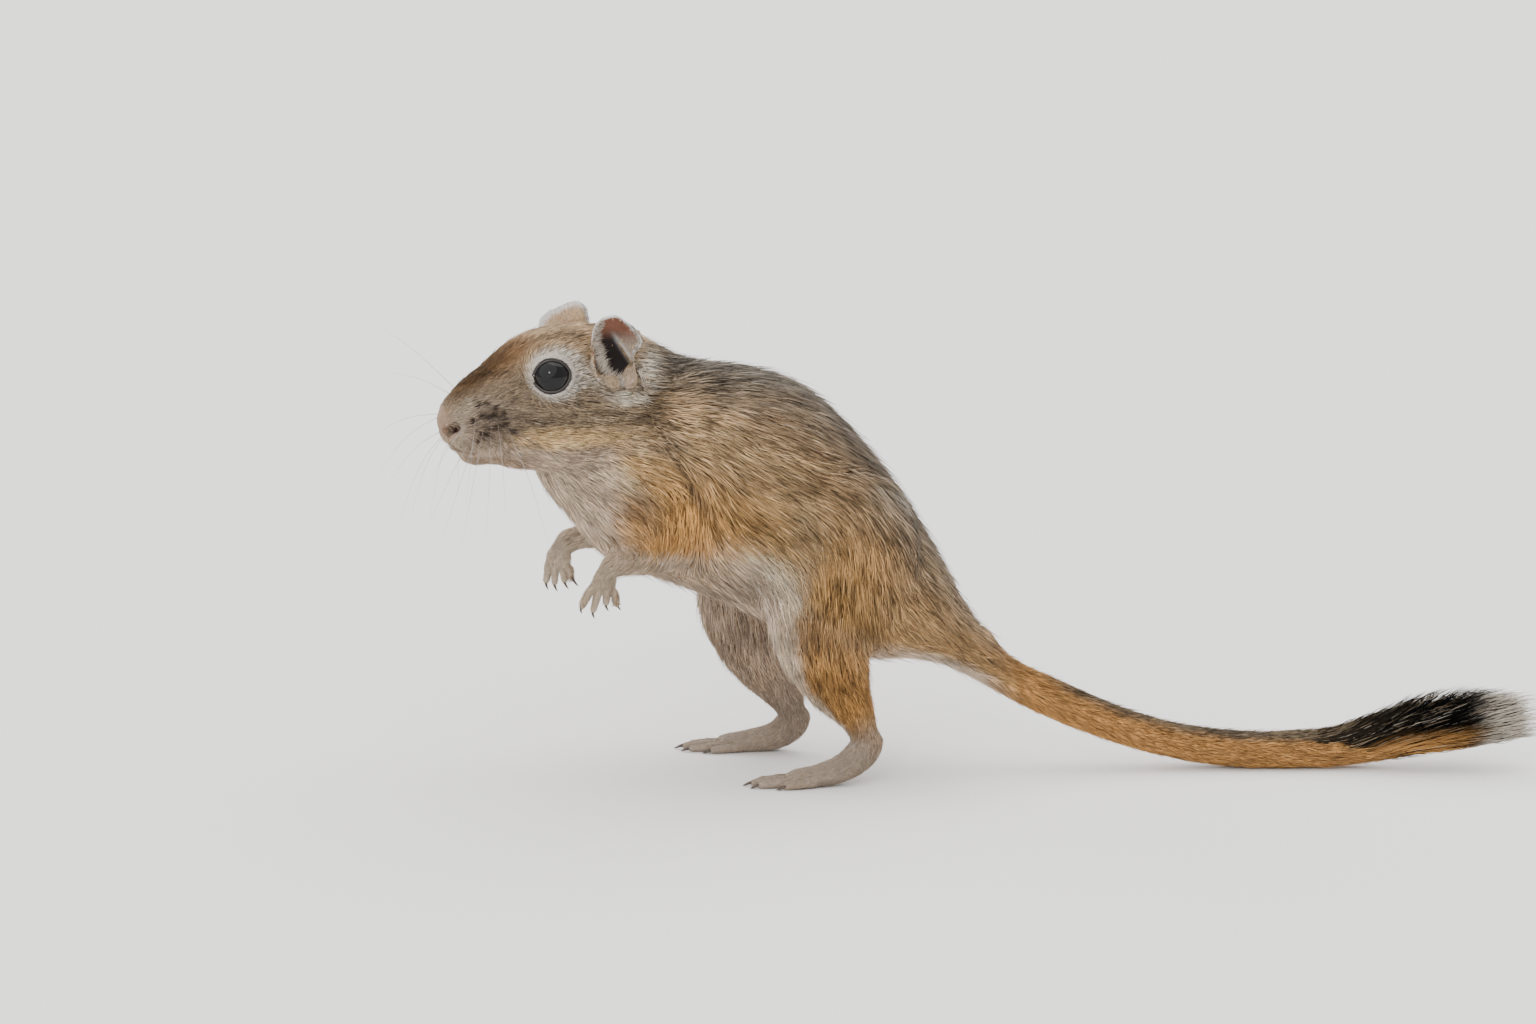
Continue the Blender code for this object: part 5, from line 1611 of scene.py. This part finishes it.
def eye_stretch(turn):
    """The lids' opening round the eye: drawn out to a corner at the front and a smaller one behind."""
    return 1.0 + 0.10 * max(math.cos(turn), 0.0) ** 24 + 0.04 * max(-math.cos(turn), 0.0) ** 14


def eye_matrix(side, centre, gaze):
    """An eye's own frame: X to the front corner, Y up and Z along the gaze."""
    out = Vector(gaze)
    front = HEAD_FRAME.to_3x3() @ Vector((-1.0, 0.0, -0.12))
    front = (front - out * front.dot(out)).normalized()
    up = out.cross(front) * (1 if side == LEFT else -1)
    turn = Matrix((front, up, out)).transposed().to_4x4()
    return Matrix.Translation(Vector(centre)) @ turn


def strands(name, sets, bulge):
    """Single fine hairs from sets of roots, ways, lifts, widths, colours and spots."""
    roots, ways, lifts, thick, colours, spots = (np.concatenate(part) for part in zip(*sets))
    path = np.stack((roots, roots + 0.55 * ways + lifts * bulge, roots + ways), axis=1)
    lifts = np.repeat(lifts[:, None], 3, axis=1)
    widths = np.stack([thick * share for share in (0.9, 0.8, 0.0)], axis=1)
    painted = np.repeat(np.clip(colours, 0, 1)[:, None], 3, axis=1)
    return tuft_mesh(name, TUFT_RINGS, path, lifts, widths, 0.7, painted, spots)


def lid_hair(count, colours):
    """Short pale hair that spreads from the lids over the ring round each eye."""
    draw = np.random.default_rng(SEEDS["lid_hair"])
    sets = []
    for side, centre, gaze in eye_openings():
        turn = draw.uniform(-math.pi, math.pi, count)
        middle = draw.uniform(3.36, 4.15, count)
        stretch = np.array([eye_stretch(value) for value in turn])
        flat = np.column_stack((middle * np.cos(turn) * stretch, middle * np.sin(turn) * stretch * LID[3]))
        out = np.linalg.norm(flat, axis=1)
        lift = np.sqrt(np.maximum((LID[2] + 0.36) ** 2 - out**2, 0.3))
        roots = np.column_stack((flat, lift))
        matrix = eye_matrix(side, centre, gaze)
        turned = np.array(matrix)[:3, :3]
        normals = unit(roots) @ turned.T
        away = unit(np.column_stack((flat, np.zeros(count)))) @ turned.T
        rear = np.tile(np.array(HEAD_FRAME)[:3, 0], (count, 1))
        ways = round_eye(rear, away, np.full(count, 1.4)) + draw.normal(0, 0.2, away.shape)
        ways = unit(ways - normals * (ways * normals).sum(axis=1, keepdims=True) * 0.9)
        long = draw.uniform(0.7, 1.3, count) * np.interp(np.cos(turn), (0.0, 1.0), (1.0, 0.6))
        ways = ways * long[:, None]
        tone = 1 + 0.10 * draw.normal(0, 1, (count, 1))
        band = 0.25 + 0.5 * (side == RIGHT) + (middle - 3.75) * 0.3
        sets.append((
            moved(matrix, roots), ways * MM, normals, 0.075 * MM * draw.uniform(0.7, 1.3, count),
            np.array(colours.eye_ring)[None] * tone, np.column_stack((turn / (2 * math.pi) + 0.5, band)),
        ))
    return strands("lid_hair", sets, 0.06 * MM)


def finish_piece(obj, finish, slot, *nodes):
    """Gives a piece its finish, sets it on the body and hides what it stands for; its slot is not used."""
    obj.data.materials.clear()
    obj.data.materials.append(finish)
    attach(obj, BODY)
    if nodes:
        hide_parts(*nodes)


def tint(name, description, value):
    """A colour that a user can set."""
    return FloatVectorProperty(
        name=name, description=description, subtype="COLOR", size=3, min=0.0, max=1.0, default=value,
    )


def count_property(name, description, value):
    return IntProperty(name=name, description=description, default=value, min=10, subtype="UNSIGNED")


def length_property(name, description, value):
    return FloatProperty(name=name, description=description, default=value, unit="LENGTH")


def factor_property(name, description, value):
    return FloatProperty(name=name, description=description, default=value, subtype="FACTOR", min=0.0)


class GerbilSizes(PropertyGroup):
    """Sizes that a user would change."""

    ear_wall: length_property("Ear wall", "Thickness of the ears", 0.0006)
    eye_radius: length_property("Eye radius", "Radius of each eye", 0.0035)
    tufts: count_property("Tufts", "Number of tufts in the coat", 132000)
    brush_tufts: count_property("Brush tufts", "Number of tufts in the brush", 7000)
    fringe_tufts: count_property("Fringe tufts", "Hairs on each ear's edge and along each lip", 700)
    lid_hairs: count_property("Lid hairs", "Hairs round each eye", 900)
    coat_length: factor_property("Coat length", "Scale of the hair's length", 1.0)
    tuft_width: factor_property("Tuft width", "Scale of the tufts' width", 1.0)


class GerbilColours(PropertyGroup):
    """Colours that a user would change."""

    back: tint("Back", "Along the spine", (0.255, 0.22, 0.18))
    saddle: tint("Saddle", "Upper sides", (0.64, 0.43, 0.24))
    side: tint("Side", "Middle of the sides", (0.6, 0.42, 0.235))
    flank: tint("Flank", "Lower sides", (0.62, 0.415, 0.205))
    buff: tint("Buff", "Edge of the pale belly", (0.8, 0.66, 0.49))
    belly: tint("Belly", "Belly and inner thighs", (0.6, 0.47, 0.355))
    orange: tint("Orange", "Shoulders and outer limbs", (0.56, 0.285, 0.08))
    foot: tint("Foot", "Hind feet", (0.4, 0.315, 0.245))
    throat: tint("Throat", "Throat and chest", (0.62, 0.48, 0.36))
    chin: tint("Chin", "Chin and lower lip", (0.43, 0.31, 0.22))
    thigh: tint("Thigh", "Outer sides of the hind legs", (0.42, 0.22, 0.065))
    forearm: tint("Forearm", "Forearms and forepaws", (0.5, 0.4, 0.3))
    forehead: tint("Forehead", "Between eyes and nose", (0.29, 0.155, 0.068))
    ear_lobe: tint("Ear lobe", "Lobes at the foot of the ear", (0.46, 0.34, 0.27))
    whisker_root: tint("Whisker root", "First part of a pale whisker", (0.22, 0.16, 0.12))
    rump: tint("Rump", "Rear of the sides, above the tail", (0.49, 0.3, 0.135))
    tail: tint("Tail", "Sides of the tail", (0.55, 0.285, 0.095))
    tail_line: tint("Tail line", "Upper side of the tail", (0.225, 0.17, 0.11))
    brush: tint("Brush", "The tail's dark brush", (0.003, 0.003, 0.003))
    brush_tip: tint("Brush tip", "Pale ends of the brush", (0.84, 0.76, 0.64))
    crown: tint("Crown", "Top of the head", (0.58, 0.41, 0.25))
    cheek: tint("Cheek", "Side of the head", (0.36, 0.27, 0.18))
    stripe: tint("Stripe", "Warm stripe under the cheek", (0.66, 0.45, 0.235))
    nose_ridge: tint("Nose ridge", "Top of the muzzle", (0.135, 0.073, 0.03))
    muzzle: tint("Muzzle", "Side of the muzzle", (0.46, 0.36, 0.27))
    eye_ring: tint("Eye ring", "Pale ring round the eye", (0.76, 0.7, 0.62))
    ear_patch: tint("Ear patch", "Pale patch behind the ear", (0.82, 0.74, 0.62))
    ear_back: tint("Ear hair", "Short hair on the ear", (0.6, 0.42, 0.26))
    ear_skin: tint("Ear skin", "Bare skin in the ear", (0.19, 0.075, 0.042))
    # Painted shade deep in the ear's hollow.
    ear_hollow_shade: tint("Ear hollow", "Deep in the ear", (0.01, 0.003, 0.002))
    # Near black, with a faint blue that is painted reflection of a bluish surround.
    eye: tint("Eye", "Surface of the eye", (0.002, 0.003, 0.0045))
    # Painted shade in the fold behind the cheek.
    crease_shade: tint("Crease", "Fold behind the cheek", (0.17, 0.12, 0.08))
    # Pale inner fur, partly painted shade: darker than the belly for the far leg's shadowed inner side.
    inner: tint("Inner leg", "Inner sides of the hind legs", (0.52, 0.38, 0.275))
    iris: tint("Iris", "Faint brown in the eye", (0.006, 0.004, 0.003))
    rim: tint("Lid rim", "Bare rim of the eyelids", (0.01, 0.008, 0.007))
    rim_light: tint("Lid rim light", "Paler parts of the lid's rim", (0.028, 0.02, 0.017))
    pad: tint("Whisker pad", "Between the whisker spots", (0.135, 0.095, 0.065))
    ear_flap: tint("Ear flap", "Fold at the back of the ear's opening", (0.25, 0.2, 0.155))
    lid: tint("Lid", "Skin of the eyelids", (0.12, 0.085, 0.07))
    ear_rim: tint("Ear rim", "Pale edge of the ear", (0.88, 0.85, 0.82))
    ear_fringe: tint("Ear fringe", "Hairs on the ear's front edge", (0.58, 0.5, 0.42))
    nose: tint("Nose", "Bare skin of the nose", (0.29, 0.16, 0.105))
    # Painted shade inside the nostril's opening.
    nostril: tint("Nostril", "Inside the nostril", (0.035, 0.01, 0.006))
    # Painted shade in the crease of the mouth's line.
    mouth: tint("Mouth", "The line of the mouth", (0.12, 0.06, 0.045))
    whisker_spot: tint("Whisker spot", "Dark roots of the whiskers", (0.045, 0.03, 0.02))
    whisker: tint("Whisker", "Pale whiskers", (0.42, 0.39, 0.36))
    whisker_dark: tint("Dark whisker", "Dark whiskers", (0.05, 0.035, 0.028))
    claw: tint("Claw", "Dark horn of the claws", (0.025, 0.017, 0.013))
    claw_pale: tint("Claw pale", "Pale horn of the claws", (0.08, 0.05, 0.035))


class StudioSettings(PropertyGroup):
    """The floor, the light and the camera."""

    elevation: FloatProperty(
        name="Elevation", description="Camera's height angle", default=math.radians(11.0), subtype="ANGLE",
    )
    distance: length_property("Distance", "Camera's distance", 0.767)
    lens: FloatProperty(name="Lens", description="Focal length in millimetres", default=100.0)
    key: FloatProperty(name="Key light", description="Strength of the main light", default=2.45)
    fill: FloatProperty(name="Fill", description="Strength of the light from all around", default=0.95)
    floor: tint("Floor", "Colour of the floor", (0.87, 0.86, 0.845))


# The point that the camera looks at, the floor's half width in metres and the camera's sensor in mm.
AIM = (-5.8, 0.0, 47.3)
FLOOR_SIZE = 6.0
SENSOR_WIDTH = 36.0


class GERBIL_OT_skin(Operator):
    """Makes the skin under the coat, with the ears"""

    bl_idname = "gerbil.skin"
    bl_label = "Skin"

    def execute(self, context):
        sizes = context.scene.gerbil_sizes
        skin = make_skin("skin", sizes.ear_wall)
        if not skin.data.polygons:
            raise RuntimeError("the skin came out empty")
        places, normals = read_mesh(skin.data)
        coat = Coat(places, body_lines())
        paint_points(skin.data, skin_colours(coat, normals, context.scene.gerbil_colours))
        finish_piece(skin, skin_finish(), "flank_coat", *FLESH, "ear_left", "ear_right", "tail_end")
        return {"FINISHED"}


class GERBIL_OT_coat(Operator):
    """Lays the coat over the skin in tufts that follow its lie"""

    bl_idname = "gerbil.coat"
    bl_label = "Coat"

    def execute(self, context):
        sizes = context.scene.gerbil_sizes
        colours = context.scene.gerbil_colours
        skin = bpy.data.objects["skin"]
        hair = hair_finish()
        for piece in comb_coat(skin, sizes.tufts, sizes.coat_length, sizes.tuft_width, colours):
            slot = "limb_coat" if "leg" in piece.name else "flank_coat"
            finish_piece(piece, hair, "tail_coat" if "tail" in piece.name else slot)
        finish_piece(make_brush(sizes.brush_tufts, colours), hair_finish("brush", 0.03), "tail_coat")
        finish_piece(ear_fringe(sizes.fringe_tufts, colours), hair, "pale_coat")
        finish_piece(lip_fringe(skin, sizes.fringe_tufts, colours), hair, "pale_coat")
        return {"FINISHED"}


class GERBIL_OT_eyes(Operator):
    """Makes the glossy eyes"""

    bl_idname = "gerbil.eyes"
    bl_label = "Eyes"

    def execute(self, context):
        colours = context.scene.gerbil_colours
        radius = context.scene.gerbil_sizes.eye_radius
        # The eye's colour holds a faint blue as painted reflection.
        finish = plain_finish("eye", colours.eye, colours.iris, 0.03, 300.0, 0.26, 0.0)
        for side, centre, gaze in eye_openings():
            bm = bmesh.new()
            bmesh.ops.create_uvsphere(bm, u_segments=64, v_segments=40, radius=radius)
            turn = Vector(gaze).to_track_quat("Z", "Y").to_matrix().to_4x4()
            bmesh.ops.transform(bm, matrix=Matrix.Translation(Vector(centre)) @ turn, verts=bm.verts)
            name = SIDE_NAMES[side]
            finish_piece(object_from(bm, f"eyeball_{name}"), finish, "eye", f"eye_{name}")
        rim = plain_finish("lid_rim", colours.rim, colours.rim_light, 0.35, 1500.0)
        finish_piece(make_lids("lid_rims", LID_RIM), rim, "eye")
        lid = plain_finish("lid", colours.lid, colours.eye_ring, 0.6, 1500.0, 0.3)
        finish_piece(make_lids("lids", LID), lid, "pale_coat")
        finish_piece(lid_hair(context.scene.gerbil_sizes.lid_hairs, colours), hair_finish(), "pale_coat")
        return {"FINISHED"}


class GERBIL_OT_claws(Operator):
    """Makes the claws of fingers and toes"""

    bl_idname = "gerbil.claws"
    bl_label = "Claws"

    def execute(self, context):
        colours = context.scene.gerbil_colours
        finish = plain_finish("claw", colours.claw, colours.claw_pale, 0.3, 900.0)
        for name, toes in (("claws_toes", True), ("claws_fingers", False)):
            claws = make_claws(name, toes)
            if not claws.data.polygons:
                raise RuntimeError("the claws came out empty")
            finish_piece(claws, finish, "limb_coat")
        return {"FINISHED"}


class GERBIL_OT_whiskers(Operator):
    """Makes the long pale and dark whiskers"""

    bl_idname = "gerbil.whiskers"
    bl_label = "Whiskers"

    def execute(self, context):
        colours = context.scene.gerbil_colours
        finish = hair_finish("whisker", 0.4)
        pale = make_whiskers("whiskers_pale", False, colours.whisker_root, colours.whisker)
        dark = make_whiskers("whiskers_dark", True, colours.whisker_dark, colours.whisker_dark)
        finish_piece(pale, finish, "pale_coat")
        finish_piece(dark, finish, "pale_coat")
        return {"FINISHED"}


class GERBIL_OT_stage(Operator):
    """Sets the floor, the soft light and the camera"""

    bl_idname = "gerbil.stage"
    bl_label = "Stage"

    def execute(self, context):
        studio = context.scene.gerbil_studio
        aim = SHIFT @ (Vector(AIM) * MM)
        add_floor(studio)
        add_lights(studio)
        add_camera(studio, aim)
        return {"FINISHED"}


def add_floor(studio):
    bm = bmesh.new()
    bmesh.ops.create_grid(bm, x_segments=2, y_segments=2, size=FLOOR_SIZE)
    floor = object_from(bm, "floor")
    finish, shader, _ = new_finish("floor", 0.85, 0.2, 40.0, 0.05, 0.0005)
    shader.inputs["Base Color"].default_value = (*studio.floor, 1.0)
    floor.data.materials.append(finish)


# Broad suns: where the light comes from, how wide it is in degrees and its share.
LIGHTS = (
    ("key", (-0.45, -0.70, 0.85), 100.0, 0.85),
    ("top", (0.25, 0.45, 1.0), 70.0, 0.9),
    ("rim", (-0.9, 0.65, 0.35), 40.0, 0.5),
    ("glint", (-0.22, -0.81, 0.53), 8.0, 0.2),
)


def add_lights(studio):
    """Broad soft suns that light the floor evenly, and an even light from everywhere."""
    for name, source, angle, share in LIGHTS:
        data = bpy.data.lights.new(name, "SUN")
        data.angle = math.radians(angle)
        data.energy = studio.key * share
        lamp = bpy.data.objects.new(name, data)
        bpy.context.scene.collection.objects.link(lamp)
        lamp.rotation_mode = "QUATERNION"
        lamp.rotation_quaternion = Vector(source).to_track_quat("Z", "Y")
    world = bpy.data.worlds.new("studio")
    world.use_nodes = True
    back = world.node_tree.nodes["Background"]
    back.inputs["Color"].default_value = (1.0, 0.99, 0.97, 1.0)
    back.inputs["Strength"].default_value = studio.fill
    bpy.context.scene.world = world


def add_camera(studio, aim):
    """The camera at the photograph's viewing angle."""
    data = bpy.data.cameras.new("camera")
    data.lens = studio.lens
    data.sensor_width = SENSOR_WIDTH
    data.clip_start = 0.01
    camera = bpy.data.objects.new("camera", data)
    bpy.context.scene.collection.objects.link(camera)
    back = Vector((0.0, -math.cos(studio.elevation), math.sin(studio.elevation)))
    camera.location = aim + back * studio.distance
    camera.rotation_mode = "QUATERNION"
    camera.rotation_quaternion = (-back).to_track_quat("-Z", "Y")
    bpy.context.scene.camera = camera


class GERBIL_PT_sidebar(Panel):
    """The gerbil's pieces, in the sidebar"""

    bl_idname = "GERBIL_PT_sidebar"
    bl_label = "Gerbil"
    bl_space_type = "VIEW_3D"
    bl_region_type = "UI"
    bl_category = "Gerbil"

    def draw(self, context):
        for group in (context.scene.gerbil_sizes, context.scene.gerbil_colours, context.scene.gerbil_studio):
            box = self.layout.box()
            for name in group.__annotations__:
                box.prop(group, name)
        for step in OPERATORS:
            self.layout.operator(step.bl_idname)


OPERATORS = (
    GERBIL_OT_skin, GERBIL_OT_coat, GERBIL_OT_eyes, GERBIL_OT_claws, GERBIL_OT_whiskers, GERBIL_OT_stage,
)
GROUPS = {"gerbil_sizes": GerbilSizes, "gerbil_colours": GerbilColours, "gerbil_studio": StudioSettings}


def register():
    for kind in (*GROUPS.values(), *OPERATORS, GERBIL_PT_sidebar):
        bpy.utils.register_class(kind)
    for name, kind in GROUPS.items():
        setattr(bpy.types.Scene, name, PointerProperty(type=kind))


def unregister():
    for name in GROUPS:
        delattr(bpy.types.Scene, name)
    for kind in reversed((*GROUPS.values(), *OPERATORS, GERBIL_PT_sidebar)):
        bpy.utils.unregister_class(kind)


def main():
    register()
    bpy.ops.gerbil.skin()
    bpy.ops.gerbil.coat()
    bpy.ops.gerbil.eyes()
    bpy.ops.gerbil.claws()
    bpy.ops.gerbil.whiskers()
    bpy.ops.gerbil.stage()


if __name__ == "__main__":
    main()
